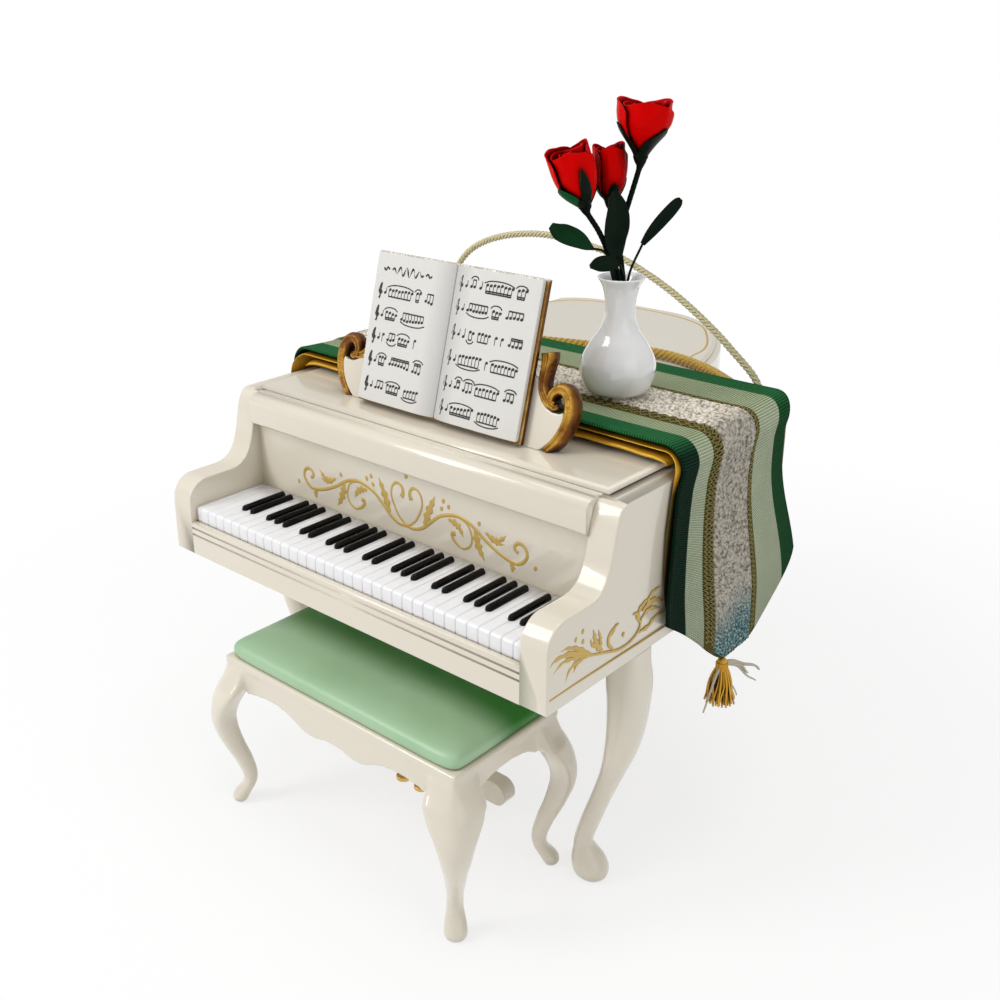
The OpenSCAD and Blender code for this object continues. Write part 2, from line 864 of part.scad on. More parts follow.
// Each rose: foot of its bloom, tip of its bloom, radius
left_rose = [[-5.5, -1.8, 10.4], [-8.7, -2.8, 21], 3.9];
middle_rose = [[-2, 2, 13], [-2.6, 2.6, 21.6], 2.7];
right_rose = [[2.2, 0, 17.8], [3.2, 0, 27.8], 4.4];

// Point on the outside of a bloom: share of its height and angle
function bloom_r(v, r) = r * (0.16 + 0.84 * pow(sin(min(90, 15 + 100 * v)), 0.9) - 0.02 * v);

// Bloom rolled from one strip with a waved rim, standing along z
module rolled_bloom(height, r, phase) {
    turns = 2.4;
    steps = 34;
    levels = 5;
    thick = 0.3;
    function strip(i, j, lift) =
        let (
            u = i / steps,
            v = j / levels,
            a = 360 * turns * u + phase,
            open = 0.24 + 0.76 * u,
            lobes = 0.5 + 0.5 * cos(3 * a + 40 * u),
            rim = height * (0.86 + 0.14 * lobes - 0.08 * (1 - u)),
            rho = bloom_r(v, r) * open + lift + 0.25 * lobes * pow(v, 3) * u
        )
        [rho * cos(a), rho * sin(a), v * rim];
    function side(lift) =
        [for (i = [0:steps]) [for (j = [0:levels]) strip(i, j, lift)]];
    plate(side(0), side(-thick));
}
// Turns z towards the line from a foot to a tip
module along(foot, tip) {
    d = tip - foot;
    translate(foot)
        rotate([0, acos(d.z / norm(d)), atan2(d.y, d.x)])
            children();
}
// Height of a bloom's underside above its foot
bloom_up = 0.6;
// Radius of the cup at the top of a stem
cup_r = 1.2;
module bloom(rose, phase) {
    color([0.85, 0.05, 0.03]) placed()
        bouquet()
            along(rose[0], rose[1])
                translate([0, 0, bloom_up])
                    rolled_bloom(norm(rose[1] - rose[0]) - bloom_up, rose[2], phase);
}
module rose_left() {
    bloom(left_rose, 60);
}
module rose_middle() {
    bloom(middle_rose, 200);
}
module rose_right() {
    bloom(right_rose, 320);
}

// Four sepals that rise round a bloom from the cup under it
module sepals(rose, first) {
    height = norm(rose[1] - rose[0]) - bloom_up;
    steps = 5;
    route = concat(
        [[cup_r, 0, 0.35]],
        [for (i = [0:steps])
            [bloom_r(i * 0.11, rose[2]) + 0.7, 0, bloom_up + i * 0.11 * height]]
    );
    wide = [for (i = [0:steps + 1]) 0.2 + 0.8 * sin(180 * (i + 0.6) / (steps + 2))];
    along(rose[0], rose[1])
        for (k = [0:3])
            rotate([0, 0, first + 90 * k])
                tube(route, wide, even(route, 0.16), [1, 0, 0], 6);
}
// Stem that widens into the cup under its bloom
module stem(route, rose) {
    axis = unit(rose[1] - rose[0]);
    whole = concat(route, [for (d = [-1.2, 0, 0.3, bloom_up]) rose[0] + d * axis]);
    radii = concat(even(route, stem_d / 2), [stem_d / 2, 0.7, cup_r, cup_r]);
    tube(whole, radii, radii, [0, 1, 0]);
}
module rose_stems() {
    low = foot_up - vase_h;
    color(green) placed()
        bouquet() {
            stem(
                [[-0.75, 0.2, low], [-0.75, 0.2, -4], [-0.9, 0.1, -1.4], [-2.3, -0.6, 3.6],
                 [-3.9, -1.3, 7.2]],
                left_rose
            );
            stem(
                [[0.1, 0.85, low], [0.1, 0.85, -4], [0.1, 0.9, -1.4], [-0.7, 1.3, 5]],
                middle_rose
            );
            stem(
                [[0.85, 0.1, low], [0.85, 0.1, -4], [0.95, 0.1, -1.4], [1.0, 0, 4],
                 [0.7, 0, 9], [1.2, 0, 13]],
                right_rose
            );
        }
}
module rose_sepals() {
    color(green) placed()
        bouquet() {
            sepals(left_rose, 20);
            sepals(middle_rose, 60);
            sepals(right_rose, 10);
        }
}
// Leaf on its own wire: a tube that flattens into a blade
module leaf(route, wide) {
    thick = [for (w = wide) min(w, 0.22)];
    tube(route, wide, thick, [0, 1, 0], 6);
}
module rose_leaves() {
    low = foot_up - vase_h;
    wire = 0.2;
    color(green) placed()
        bouquet() {
            leaf(
                [[-0.9, -0.75, low], [-0.9, -0.75, -4], [-1.1, -0.9, -1], [-2.8, -2, 4.2],
                 [-5.2, -2.4, 5.2], [-6.6, -2.5, 6], [-8.4, -2.6, 7.2], [-10.2, -2.7, 8.2],
                 [-11.7, -2.8, 8.8]],
                [wire, wire, wire, wire, 0.5, 1.5, 1.9, 1.3, 0.2]
            );
            leaf(
                [[-0.3, -0.9, low], [-0.3, -0.9, -4], [-0.4, -1.2, 0], [-1.2, -2.2, 2.4],
                 [-2.2, -2.4, 2.9], [-3.6, -2.6, 2.9], [-5.4, -2.8, 2.6]],
                [wire, wire, wire, 0.5, 1.1, 1.2, 0.2]
            );
            leaf(
                [[0.3, -0.9, low], [0.3, -0.9, -4], [0.3, -1.1, 0], [-0.8, -1.3, 3.6],
                 [-1.1, -1.4, 5.4], [-0.9, -1.4, 8], [-0.7, -1.4, 10.6], [-0.9, -1.3, 13.4]],
                [wire, wire, wire, 0.6, 1.5, 1.9, 1.5, 0.2]
            );
            leaf(
                [[0.9, -0.7, low], [0.9, -0.7, -4], [1.1, -0.8, 0.6], [3.2, -1, 6],
                 [4.4, -1.1, 7.6], [6.2, -1.2, 9.8], [7.7, -1.3, 11.4], [8.6, -1.3, 12.4]],
                [wire, wire, wire, 0.25, 0.8, 1.0, 0.7, 0.2]
            );
        }
}

// ---- Bench ----

leg_h = bench_h - board_t;
module bench_leg(way_x, way_y) {
    diagonal = [way_x, way_y] / sqrt(2);
    color(ivory) placed()
        translate([way_x * post_x, bench_y + way_y * post_y, 0])
            loft([
                for (row = bench_leg_rows)
                    leg_ring(row[0] * leg_h, row[1] * diagonal, row[2], row[3])
            ]);
}
module bench_leg_front_left() {
    bench_leg(-1, -1);
}
module bench_leg_front_right() {
    bench_leg(1, -1);
}
module bench_leg_rear_left() {
    bench_leg(-1, 1);
}
module bench_leg_rear_right() {
    bench_leg(1, 1);
}

// Half of an apron's lower edge from its middle out, measured down from the bench top
function long_edge(half) = concat(
    [[0, -6.7]],
    curve([0, -6.7], [2.4, -6.6], [3.6, -7.5], [5.6, -7.5], 5),
    curve([5.6, -7.5], [8.6, -7.5], [9.6, -5.1], [half - 7.4, -5.1], 6),
    curve([half - 7.4, -5.1], [half - 3.6, -5.1], [half - 2.6, -6.2], [half, -7.6], 5)
);
function short_edge(half) = concat(
    [[0, -5.2]],
    curve([0, -5.2], [half * 0.55, -5.2], [half * 0.75, -6], [half, -7.8], 6)
);
module apron(half, edge) {
    last = len(edge) - 1;
    rotate([90, 0, 0])
        linear_extrude(apron_t)
            polygon(concat(
                [for (i = [last:-1:1]) [-edge[i].x, edge[i].y]],
                edge,
                [[half, -board_t], [-half, -board_t]]
            ));
}
// Board under the seat and four aprons between the legs
module bench_frame() {
    gap = bench_post + 0.05;
    color(ivory) placed()
        translate([0, bench_y, bench_h]) {
            translate([-bench_w / 2, -bench_d / 2, -board_t])
                cube([bench_w, bench_d, board_t]);
            for (way = [-1, 1])
                translate([0, way * (bench_d / 2 - 0.2 - apron_t / 2) + apron_t / 2, 0])
                    apron(post_x - gap, long_edge(post_x - gap));
            for (way = [-1, 1])
                translate([way * (bench_w / 2 - 0.2 - apron_t / 2) - apron_t / 2, 0, 0])
                    rotate([0, 0, 90])
                        apron(post_y - gap, short_edge(post_y - gap));
        }
}

// Cushion with drawn-in sides, a round edge and a crown
module bench_seat() {
    half_x = bench_w / 2 - 0.6;
    half_y = bench_d / 2 - 0.5;
    count = 40;
    function outline(shrink, z) = [
        for (j = [0:count - 1])
            let (
                a = 360 * (j + 0.5) / count,
                c = cos(a),
                s = sin(a),
                e = 0.22
            )
            [
                (half_x - shrink) * sign(c) * pow(abs(c), e),
                (half_y - shrink) * sign(s) * pow(abs(s), e),
                z
            ]
    ];
    rows = [
        [0.5, 0], [0.1, 0.6], [0, 1.3], [0.3, 2], [1.1, 2.5], [2.6, seat_t - 1.3],
        [5, seat_t - 0.75], [8, seat_t - 0.25], [10.6, seat_t]
    ];
    color([0.5, 0.66, 0.52]) placed()
        translate([0, bench_y, bench_h])
            loft([for (row = rows) outline(row[0], row[1])]);
}

case_body();
side_left();
side_right();
keybed();
key_slip();
white_keys();
black_keys();
fallboard();
nosing();
lid();
leg_front_left();
leg_front_right();
leg_tail();
pedal_lyre();
pedals();
music_desk();
desk_scroll_left();
desk_scroll_right();
book_cover();
book_page_left();
book_page_right();
runner_lining();
runner();
tassel_left();
tassel_right();
braid();
hanging_cord();
vase();
rose_stems();
rose_sepals();
rose_leaves();
rose_left();
rose_middle();
rose_right();
bench_frame();
bench_leg_front_left();
bench_leg_front_right();
bench_leg_rear_left();
bench_leg_rear_right();
bench_seat();
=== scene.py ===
"""Miniature grand piano with its bench, music book, runner and a vase of roses."""

import bmesh
import bpy
import numpy as np
from mathutils import Matrix, Vector


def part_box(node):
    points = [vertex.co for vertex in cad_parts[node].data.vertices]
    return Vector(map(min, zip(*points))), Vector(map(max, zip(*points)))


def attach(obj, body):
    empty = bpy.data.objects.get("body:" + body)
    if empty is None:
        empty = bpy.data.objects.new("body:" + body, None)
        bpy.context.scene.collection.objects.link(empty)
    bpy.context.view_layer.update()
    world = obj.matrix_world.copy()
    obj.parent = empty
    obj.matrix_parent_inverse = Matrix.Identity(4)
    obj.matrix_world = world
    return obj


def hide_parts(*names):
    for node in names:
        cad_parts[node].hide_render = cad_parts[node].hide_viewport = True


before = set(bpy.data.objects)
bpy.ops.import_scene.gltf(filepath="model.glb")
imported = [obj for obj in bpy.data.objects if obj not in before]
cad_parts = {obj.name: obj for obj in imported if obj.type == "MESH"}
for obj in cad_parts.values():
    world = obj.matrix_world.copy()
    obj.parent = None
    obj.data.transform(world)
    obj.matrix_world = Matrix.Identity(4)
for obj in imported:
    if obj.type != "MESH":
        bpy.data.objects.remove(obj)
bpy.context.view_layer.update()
MM = 0.001

# ---- Camera ----
# A 43 mm lens a little above the lid, off the treble end of the keys. Lengths on the piano are
# given from the front of the key slip, in millimetres, and FRONT is where that lies.

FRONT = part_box("key_slip")[0].y
EYE = (126.84, -111.11, 137.18)
AZIMUTH, ELEVATION, ROLL = np.radians([42.24, 21.3, -0.5])
LENS = 43.02
SHIFT = (0.0431, -0.0334)


def at(points):
    """Points in millimetres from the key slip's front, moved to the frame, in metres."""
    return np.asarray(points, float) * MM + np.array([0, FRONT, 0])


level = np.array([np.cos(AZIMUTH), np.sin(AZIMUTH), 0])
ahead = np.array(
    [-np.sin(AZIMUTH) * np.cos(ELEVATION), np.cos(AZIMUTH) * np.cos(ELEVATION), -np.sin(ELEVATION)]
)
upright = np.cross(level, ahead)
camera = bpy.data.objects.new("camera", bpy.data.cameras.new("camera"))
camera.data.lens = LENS
camera.data.shift_x, camera.data.shift_y = SHIFT
camera.data.clip_start, camera.data.clip_end = 0.01, 10
turn = np.column_stack(
    [
        level * np.cos(ROLL) + upright * np.sin(ROLL),
        upright * np.cos(ROLL) - level * np.sin(ROLL),
        -ahead,
    ]
)
camera.matrix_world = Matrix.LocRotScale(at(EYE).tolist(), Matrix(turn.tolist()), None)
bpy.context.scene.collection.objects.link(camera)
bpy.context.scene.camera = camera

# ---- Hanging loop ----
# Twisted gold cord, three plies, glued to the lid at both ends behind the runner. It is stiff
# enough to stand as an arch over the piano.

LID_TOP = 73.0
LOOP_Y, LOOP_D, LOOP_LAY = 64.6, 1.3, 2.6
LOOP_ROUTE = [
    (-33.5, 0), (-34.2, 3), (-34.3, 5.4), (-33.9, 9), (-32.7, 13.4), (-30.3, 16.9),
    (-27, 19.5), (-22.1, 21.6), (-16.2, 23), (-9.4, 23.6), (-1.5, 23), (6.4, 21.6),
    (12.3, 19.5), (17.2, 17.3), (22, 14.6), (27, 11.3), (30.6, 8.5), (33.5, 6.2),
    (35, 4.7), (35.9, 3.2), (36.2, 1.6), (36.2, 0),
]  # fmt: skip


def unit(vectors):
    """The vectors at a length of 1."""
    return vectors / np.linalg.norm(vectors, axis=-1, keepdims=True)


def path_length(path):
    """Length of a path through its points."""
    return np.linalg.norm(np.diff(path, axis=0), axis=1).sum()


def smooth_path(points, count):
    """Catmull-Rom curve through the points, read at count even steps of its length."""
    p = np.asarray(points, float)
    p = np.vstack([2 * p[0] - p[1], p, 2 * p[-1] - p[-2]])
    t = np.linspace(0, 1, 24, endpoint=False)[:, None]
    a, b, c, d = p[:-3, None], p[1:-2, None], p[2:-1, None], p[3:, None]
    bend = 2 * b + (c - a) * t + (2 * a - 5 * b + 4 * c - d) * t**2
    bend = (bend + (3 * b - a - 3 * c + d) * t**3) / 2
    line = np.vstack([bend.reshape(-1, p.shape[1]), p[-2]])
    run = np.r_[0, np.cumsum(np.linalg.norm(np.diff(line, axis=0), axis=1))]
    even = np.linspace(0, run[-1], count)
    return np.column_stack([np.interp(even, run, line[:, k]) for k in range(p.shape[1])])


def circle(count):
    """Angles of count even steps round a circle."""
    return np.linspace(0, 2 * np.pi, count, endpoint=False)


def steady_frames(path, up):
    """Two directions square to the path at each point, leaning as little as they can from up."""
    along = unit(np.gradient(path, axis=0))
    side = unit(np.cross(along, up))
    return side, np.cross(side, along)


def tube(line, radius, upwards, sides=6):
    """Rings round a line: at angle a, radius * (cos a * side + sin a * up) from it."""
    side, up = steady_frames(line, upwards)
    a = circle(sides)[:, None]
    spread = np.cos(a) * side[:, None] + np.sin(a) * up[:, None]
    return line[:, None] + np.asarray(radius).reshape(-1, 1, 1) * spread


def patch(rings, ends):
    """Points and faces over one grid of closed rings, turned outwards by the sign of the
    volume within it."""
    rows, cols = rings.shape[:2]
    index = np.arange(rows * cols).reshape(rows, cols)
    points, turned = rings.reshape(-1, 3), np.roll(index, -1, 1)
    quads = np.stack([index[:-1], turned[:-1], turned[1:], index[1:]], -1).reshape(-1, 4)
    a, b, c, d = (points[quads[:, k]] - points[0] for k in range(4))
    if (a * np.cross(b, c)).sum() + (a * np.cross(c, d)).sum() < 0:
        quads, index = quads[:, ::-1], index[:, ::-1]
    faces = quads.tolist()
    if ends == "slab":
        face, back = index[:, : cols // 2], index[:, : cols // 2 - 1 : -1]
        faces += np.stack([face[0, 1:], face[0, :-1], back[0, :-1], back[0, 1:]], -1).tolist()
        faces += np.stack([face[-1, :-1], face[-1, 1:], back[-1, 1:], back[-1, :-1]], -1).tolist()
    else:
        turned = np.roll(index, -1, 1)
        first, last = len(points), len(points) + 1
        points = np.vstack([points, rings[0].mean(0), rings[-1].mean(0)])
        faces += [[a, first, b] for a, b in zip(index[0].tolist(), turned[0].tolist())]
        faces += [[a, b, last] for a, b in zip(index[-1].tolist(), turned[-1].tolist())]
    return points, faces


def surface(name, grids, ends="fan", uv=None):
    """Mesh over grids of closed rings. ends closes each first and last ring: with a fan from
    its middle, or for "slab" from the ring's face to its back, which is its second half in
    reverse. A list gives each grid its own. uv gives each grid two numbers a point."""
    points, faces, flat, start = [], [], [], 0
    for k, rings in enumerate(grids):
        close = ends[k] if isinstance(ends, list) else ends
        spots, some = patch(rings, close)
        points.append(spots)
        faces += [[v + start for v in face] for face in some]
        start += len(spots)
        if uv is not None:
            rim = [uv[k][0].mean(0), uv[k][-1].mean(0)] if close == "fan" else []
            flat.append(np.vstack([uv[k].reshape(-1, 2), *rim]))
    mesh = bpy.data.meshes.new(name)
    mesh.from_pydata(np.vstack(points).tolist(), [], faces)
    if uv is not None:
        layer = mesh.uv_layers.new(name="UVMap")
        corner = np.zeros(len(mesh.loops), np.int32)
        mesh.loops.foreach_get("vertex_index", corner)
        layer.data.foreach_set("uv", np.vstack(flat)[corner].ravel())
    mesh.shade_smooth()
    return placed(name, mesh)


def placed(name, data):
    """A new object of the scene that shows the data."""
    piece = bpy.data.objects.new(name, data)
    bpy.context.scene.collection.objects.link(piece)
    return piece


def twisted(name, path, diameter, plies, lay, upwards, sides=7, steps_per_turn=14):
    """Plies wound round a path: ply k's middle turns about it by 360 degrees in each lay
    length, at a distance that lets the plies touch."""
    ply_r = diameter / 2 / (1 + 1 / np.sin(np.pi / plies))
    out = diameter / 2 - ply_r
    length = path_length(path)
    line = smooth_path(path, int(length / lay * steps_per_turn) + 2)
    side, up = steady_frames(line, upwards)
    run = np.linspace(0, length, len(line))
    grids = []
    for ply in range(plies):
        angle = 2 * np.pi * (run / lay + ply / plies)
        middle = line + out * (np.cos(angle)[:, None] * side + np.sin(angle)[:, None] * up)
        grids.append(tube(middle, ply_r, upwards, sides))
    marks = np.stack(np.meshgrid(run / lay, circle(sides), indexing="ij"), -1)
    return surface(name, grids, uv=[marks] * plies)


def finished(piece, body, slot, made, *nodes):
    """A finished piece: its body, its material and what it replaces. Its slot is not used."""
    piece.data.materials.clear()
    piece.data.materials.append(made)
    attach(piece, body)
    if nodes:
        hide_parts(*nodes)
    return piece


def srgb(red, green, blue):
    """A colour given as 0 to 255, in the linear values that a shader takes."""
    c = np.array([red, green, blue]) / 255
    return (*np.where(c <= 0.04045, c / 12.92, ((c + 0.055) / 1.055) ** 2.4).tolist(), 1.0)


def feed(tree, node, inputs):
    """Gives a node's inputs sockets or plain values."""
    for key, value in inputs.items():
        if isinstance(value, bpy.types.NodeSocket):
            tree.links.new(value, node.inputs[key])
        else:
            node.inputs[key].default_value = value


def put(tree, kind, inputs, output=0, **settings):
    """An output of a new node of the tree, with its inputs and settings."""
    node = tree.nodes.new("ShaderNode" + kind)
    for key, value in settings.items():
        setattr(node, key, value)
    feed(tree, node, inputs)
    return node.outputs[output]


def maths(tree, operation, a, b=0.5, c=0.5):
    """The result of a Math node on values or sockets."""
    return put(tree, "Math", {0: a, 1: b, 2: c}, operation=operation)


def times(tree, a, b):
    """The product of two values."""
    return maths(tree, "MULTIPLY", a, b)


def axis(tree, k, vector):
    """Coordinate k of a vector."""
    return put(tree, "SeparateXYZ", {0: vector}, k)


def ramp(tree, value, *stops, smooth=False):
    """Colour ramp over (place, colour) stops."""
    colour = put(tree, "ValToRGB", {0: value})
    colour.node.color_ramp.interpolation = "EASE" if smooth else "LINEAR"
    marks = colour.node.color_ramp.elements
    while len(marks) < len(stops):
        marks.new(0.5)
    for mark, (place, paint) in zip(marks, stops):
        mark.position, mark.color = place, paint
    return colour


def blended(tree, share, a, b, how="MIX"):
    """Colour a turned into b by share."""
    inputs = {0: share, 6: a, 7: b}
    return put(tree, "Mix", inputs, 2, data_type="RGBA", blend_type=how, clamp_factor=True)


def material(name, **plain):
    """A material and its tree, whose Principled shader takes the given plain values."""
    made = bpy.data.materials.new(name)
    made.use_nodes = True
    shader = made.node_tree.nodes["Principled BSDF"]
    for key, value in plain.items():
        shader.inputs[key.replace("_", " ")].default_value = value
    return made, made.node_tree


def painted(made, paint=None, height=None, distance=0.0, strength=1.0):
    """The material with its colour and with bumps of height times distance, where given."""
    tree, inputs = made.node_tree, {}
    if paint is not None:
        inputs["Base Color"] = paint
    if height is not None:
        bumps = {"Strength": strength, "Distance": distance, "Height": height}
        inputs["Normal"] = put(tree, "Bump", bumps)
    feed(tree, tree.nodes["Principled BSDF"], inputs)
    return made


def effect(name, inputs, outputs):
    """An empty node group; returns its tree, its inputs and the node that takes its outputs."""
    tree = bpy.data.node_groups.new(name, "ShaderNodeTree")
    for label, value in inputs.items():
        socket = tree.interface.new_socket(label, in_out="INPUT", socket_type="NodeSocketFloat")
        socket.default_value = value
    for label in outputs:
        tree.interface.new_socket(label, in_out="OUTPUT", socket_type="NodeSocketFloat")
    return tree, tree.nodes.new("NodeGroupInput").outputs, tree.nodes.new("NodeGroupOutput")


def use(tree, group, **inputs):
    """The group placed in a material; returns its outputs."""
    node = tree.nodes.new("ShaderNodeGroup")
    node.node_tree = group
    feed(tree, node, inputs)
    return node.outputs


# Fibre is fine thread laid along the ply, and Cloud is where the thread is lighter or darker.
ply_shade, given, results = effect("ply_shade", {"Fibres": 9.0, "Slant": 1.0}, ["Cloud", "Fibre"])
marks = put(ply_shade, "UVMap", {})
along, around = axis(ply_shade, 0, marks), axis(ply_shade, 1, marks)
slanted = maths(ply_shade, "MULTIPLY_ADD", along, given["Slant"], around)
wave = maths(ply_shade, "SINE", times(ply_shade, slanted, given["Fibres"]))
cloud = put(ply_shade, "TexNoise", {"Scale": 900.0, "Detail": 3.0})
fibre = maths(ply_shade, "MULTIPLY_ADD", wave, 0.5, 0.5)
feed(ply_shade, results, {"Fibre": fibre, "Cloud": cloud})


def thread(name, light, dark, fibres=9.0, slant=12.0, roughness=0.45, metallic=0.25):
    """Spun thread: painted light on the crests of its fibres and painted shade between them."""
    made, tree = material(name, Roughness=roughness, Metallic=metallic, Sheen_Weight=0.3)
    out = use(tree, ply_shade, Fibres=fibres, Slant=slant)
    dull, bright = (0.72, 0.72, 0.72, 1), (1.12, 1.12, 1.12, 1)
    cloud = ramp(tree, out["Cloud"], (0.35, dull), (0.65, bright))
    # Painted light on the fibres' crests and painted shade between them.
    paint = blended(tree, 1.0, blended(tree, out["Fibre"], dark, light), cloud, "MULTIPLY")
    return painted(made, paint, out["Fibre"], 0.06 * MM, 0.8)


loop_path = at([(x, LOOP_Y, LID_TOP + z) for x, z in LOOP_ROUTE])
loop = twisted("loop_twist", loop_path, LOOP_D * MM, 3, LOOP_LAY * MM, (0, 1, 0))
cord_gold = thread("pale_gold_cord", srgb(252, 246, 208), srgb(222, 206, 146), metallic=0.15)
finished(loop, "piano", "gold_cord", cord_gold, "hanging_cord")
loop_line = smooth_path(loop_path, 80)

# ---- Case ----
# One cast body with side panels, keybed, key slip, fallboard, nosing and lid, sprayed with
# pearl ivory. Its corners are eased, and painted shade turns the paint tan where pieces meet.

CASE_HALF, WELL_HALF, WELL_DEPTH, TAIL_FROM = 42.0, 37.2, 17.6, 66
ARM_DEPTH, ARM_FOOT = 17, 54
IVORY, SHADE_TAN = srgb(221, 213, 196), srgb(176, 158, 122)
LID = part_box("lid")


def position(tree):
    """Where a point of the piece is, in metres."""
    return put(tree, "TexCoord", {}, "Object")


def between(tree, value, start, end, low=0.0, high=1.0, how="LINEAR"):
    """Goes from low where the value is start to high where it is end, and no further."""
    limits = {0: value, 1: start, 2: end, 3: low, 4: high}
    return put(tree, "MapRange", limits, interpolation_type=how)


def hollow(tree, reach, samples):
    """1 in the open, and less in corners narrower than the reach."""
    return put(tree, "AmbientOcclusion", {"Distance": reach}, "AO", samples=samples)


def scaled(tree, colour, value):
    """A colour multiplied by a value."""
    return put(tree, "VectorMath", {0: colour, "Scale": value}, operation="SCALE")


# Value wanders about 1 by up to half of Depth, in clouds of the pitch 1 / Size.
pearl_mottle, given, results = effect("pearl_mottle", {"Size": 60.0, "Depth": 0.1}, ["Value"])
where = {"Vector": position(pearl_mottle), "Scale": given["Size"], "Detail": 4.0}
centred = maths(pearl_mottle, "SUBTRACT", put(pearl_mottle, "TexNoise", where), 0.5)
spread = maths(pearl_mottle, "MULTIPLY_ADD", centred, given["Depth"], 1.0)
feed(pearl_mottle, results, {"Value": spread})


def clouded(tree, size, depth):
    """Clouds of a size and depth placed in a material."""
    return use(tree, pearl_mottle, Size=size, Depth=depth)["Value"]


def pearl_ivory(name, reach=0.005, shade_strength=0.5):
    """Pearl ivory paint: bright and glossy, clouded a little, with painted shade that turns it tan
    in the corners up to the underside of the lid."""
    made, tree = material(name, Roughness=0.3, IOR=1.5, Coat_Weight=0.8, Coat_Roughness=0.06)
    clouds = clouded(tree, 45.0, 0.05)
    black, tint = (0, 0, 0, 1), (shade_strength, shade_strength, shade_strength, 1)
    # Painted shade: tan in corners, by ambient occlusion, and weak above the lid's underside.
    depth = ramp(tree, hollow(tree, reach, 12), (0.22, tint), (0.72, black), smooth=True)
    height = axis(tree, 2, position(tree))
    below = between(tree, height, LID[0].z - MM, LID[0].z, 1.0, 0.15)
    paint = blended(tree, times(tree, depth, below), IVORY, SHADE_TAN)
    return painted(made, scaled(tree, paint, clouds), clouds, 0.8 * MM, 0.35)


def eased(name, node, radius, segments=3, keep=None):
    """Copy of a CAD node with its doubles merged, flat faces joined, and edges sharper than 30
    degrees rounded to a radius. keep gives an edge's share of the radius by its middle."""
    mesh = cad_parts[node].data.copy()
    mesh.name = name
    work = bmesh.new()
    work.from_mesh(mesh)
    bmesh.ops.remove_doubles(work, verts=work.verts, dist=1e-6)
    flat = {"verts": work.verts, "edges": work.edges}
    bmesh.ops.dissolve_limit(work, angle_limit=np.radians(0.5), **flat)
    weight = work.edges.layers.float.new("bevel_weight_edge")
    for edge in work.edges:
        sharp = len(edge.link_faces) == 2 and edge.calc_face_angle(0) > np.radians(30)
        middle = (edge.verts[0].co + edge.verts[1].co) / 2
        edge[weight] = float(sharp) * (1.0 if keep is None else float(keep(middle / MM)))
    work.to_mesh(mesh)
    work.free()
    mesh.shade_smooth()
    piece = placed(name, mesh)
    bevel = piece.modifiers.new("eased", "BEVEL")
    bevel.width, bevel.segments = radius * MM, segments
    bevel.limit_method = "WEIGHT"
    bevel.use_clamp_overlap, bevel.harden_normals = True, False
    piece.modifiers.new("normals", "WEIGHTED_NORMAL").keep_sharp = False
    return piece


def outer(spot):
    """Edges of the case that show: not those where one piece is flush with the next."""
    depth = spot.y - FRONT / MM
    if abs(spot.x) > WELL_HALF + 0.1:
        return depth < WELL_DEPTH or abs(spot.x) > CASE_HALF - 0.1
    return depth > TAIL_FROM


def between_cheeks(spot):
    """Edges that do not lie against the cheeks."""
    return abs(spot.x) < WELL_HALF - 0.1


def over_the_arm(spot):
    """The cheeks roll over softly along their arms, and less at their other edges."""
    if spot.y - FRONT / MM < ARM_DEPTH and spot.z > ARM_FOOT:
        return 1.0 if abs(spot.x) > CASE_HALF - 0.1 else 0.7
    return 0.4 * outer(spot)


def upper(spot):
    """Edges of the lid's top."""
    return spot.z > LID[1].z / MM - 0.1


ivory, lid_ivory = pearl_ivory("pearl_ivory"), pearl_ivory("pearl_ivory_lid", 0.002, 0.12)
for node, radius, keep, paint in (
    ("case_body", 0.6, outer, ivory), ("side_left", 2.0, over_the_arm, ivory),
    ("side_right", 2.0, over_the_arm, ivory), ("keybed", 0.1, between_cheeks, ivory),
    ("key_slip", 0.12, between_cheeks, ivory), ("fallboard", 0.1, between_cheeks, ivory),
    ("nosing", 0.45, between_cheeks, lid_ivory), ("lid", 0.8, upper, lid_ivory),
    ("music_desk", 0.25, None, ivory), ("pedal_lyre", 0.7, None, ivory),
):  # fmt: skip
    cast = eased(node + "_cast", node, radius, 4, keep)
    finished(cast, "piano", "case_ivory", paint, node)

# ---- Keys ----
# White keys of cast resin with fine grooves between them, and glossy black keys with round
# ends in twos and threes. A plain strip fills the bass end.

KEYBED_TOP, KEY_TOP, KEY_FRONT, KEY_BACK, KEY_ROUND = 51.5, 54.6, 1.2, 16.4, 0.55
GROOVE_HALF, GROOVE_DEPTH, PLAY = 0.075, 0.17, 0.02
WHITES, BASS_STRIP, FIRST_BLACK, NO_BLACK = 34, 1.13, 3, (2, 6)
BLACK_W, BLACK_LEN, BLACK_H, BLACK_SET_BACK = 1.2, 9.4, 0.9, 1.4
FIRST_KEY = BASS_STRIP - WELL_HALF
PITCH = (2 * WELL_HALF - BASS_STRIP) / WHITES

# The white keys are one profile in y and z, carried across in x and drawn in by a bell curve
# at each seam.
seams = FIRST_KEY + PITCH * np.arange(WHITES)
steps = np.array([-0.42, -0.16, -0.09, -0.045, 0, 0.045, 0.09, 0.16, 0.42])
end = WELL_HALF - PLAY
x = np.unique(np.r_[-end, (seams[:, None] + steps).ravel(), end].round(4))
x = x[(x >= -end) & (x <= end)]
groove = np.exp(-(((x[:, None] - seams) / GROOVE_HALF) ** 2)).sum(1)[:, None, None]
turn = np.radians(np.linspace(90, 180, 9))
corner = KEY_ROUND * np.column_stack([1 + np.cos(turn), np.sin(turn) - 1])
profile = np.vstack(
    [
        [(KEY_BACK - PLAY, KEY_TOP), (12, KEY_TOP), (8, KEY_TOP), (4, KEY_TOP)],
        corner + [KEY_FRONT, KEY_TOP],
        [(KEY_FRONT, 53.2), (KEY_FRONT, 52.4), (KEY_FRONT, KEYBED_TOP)],
    ]
)
back = np.interp(profile[:, 0], [KEY_FRONT, KEY_FRONT + KEY_ROUND], [1, 0])
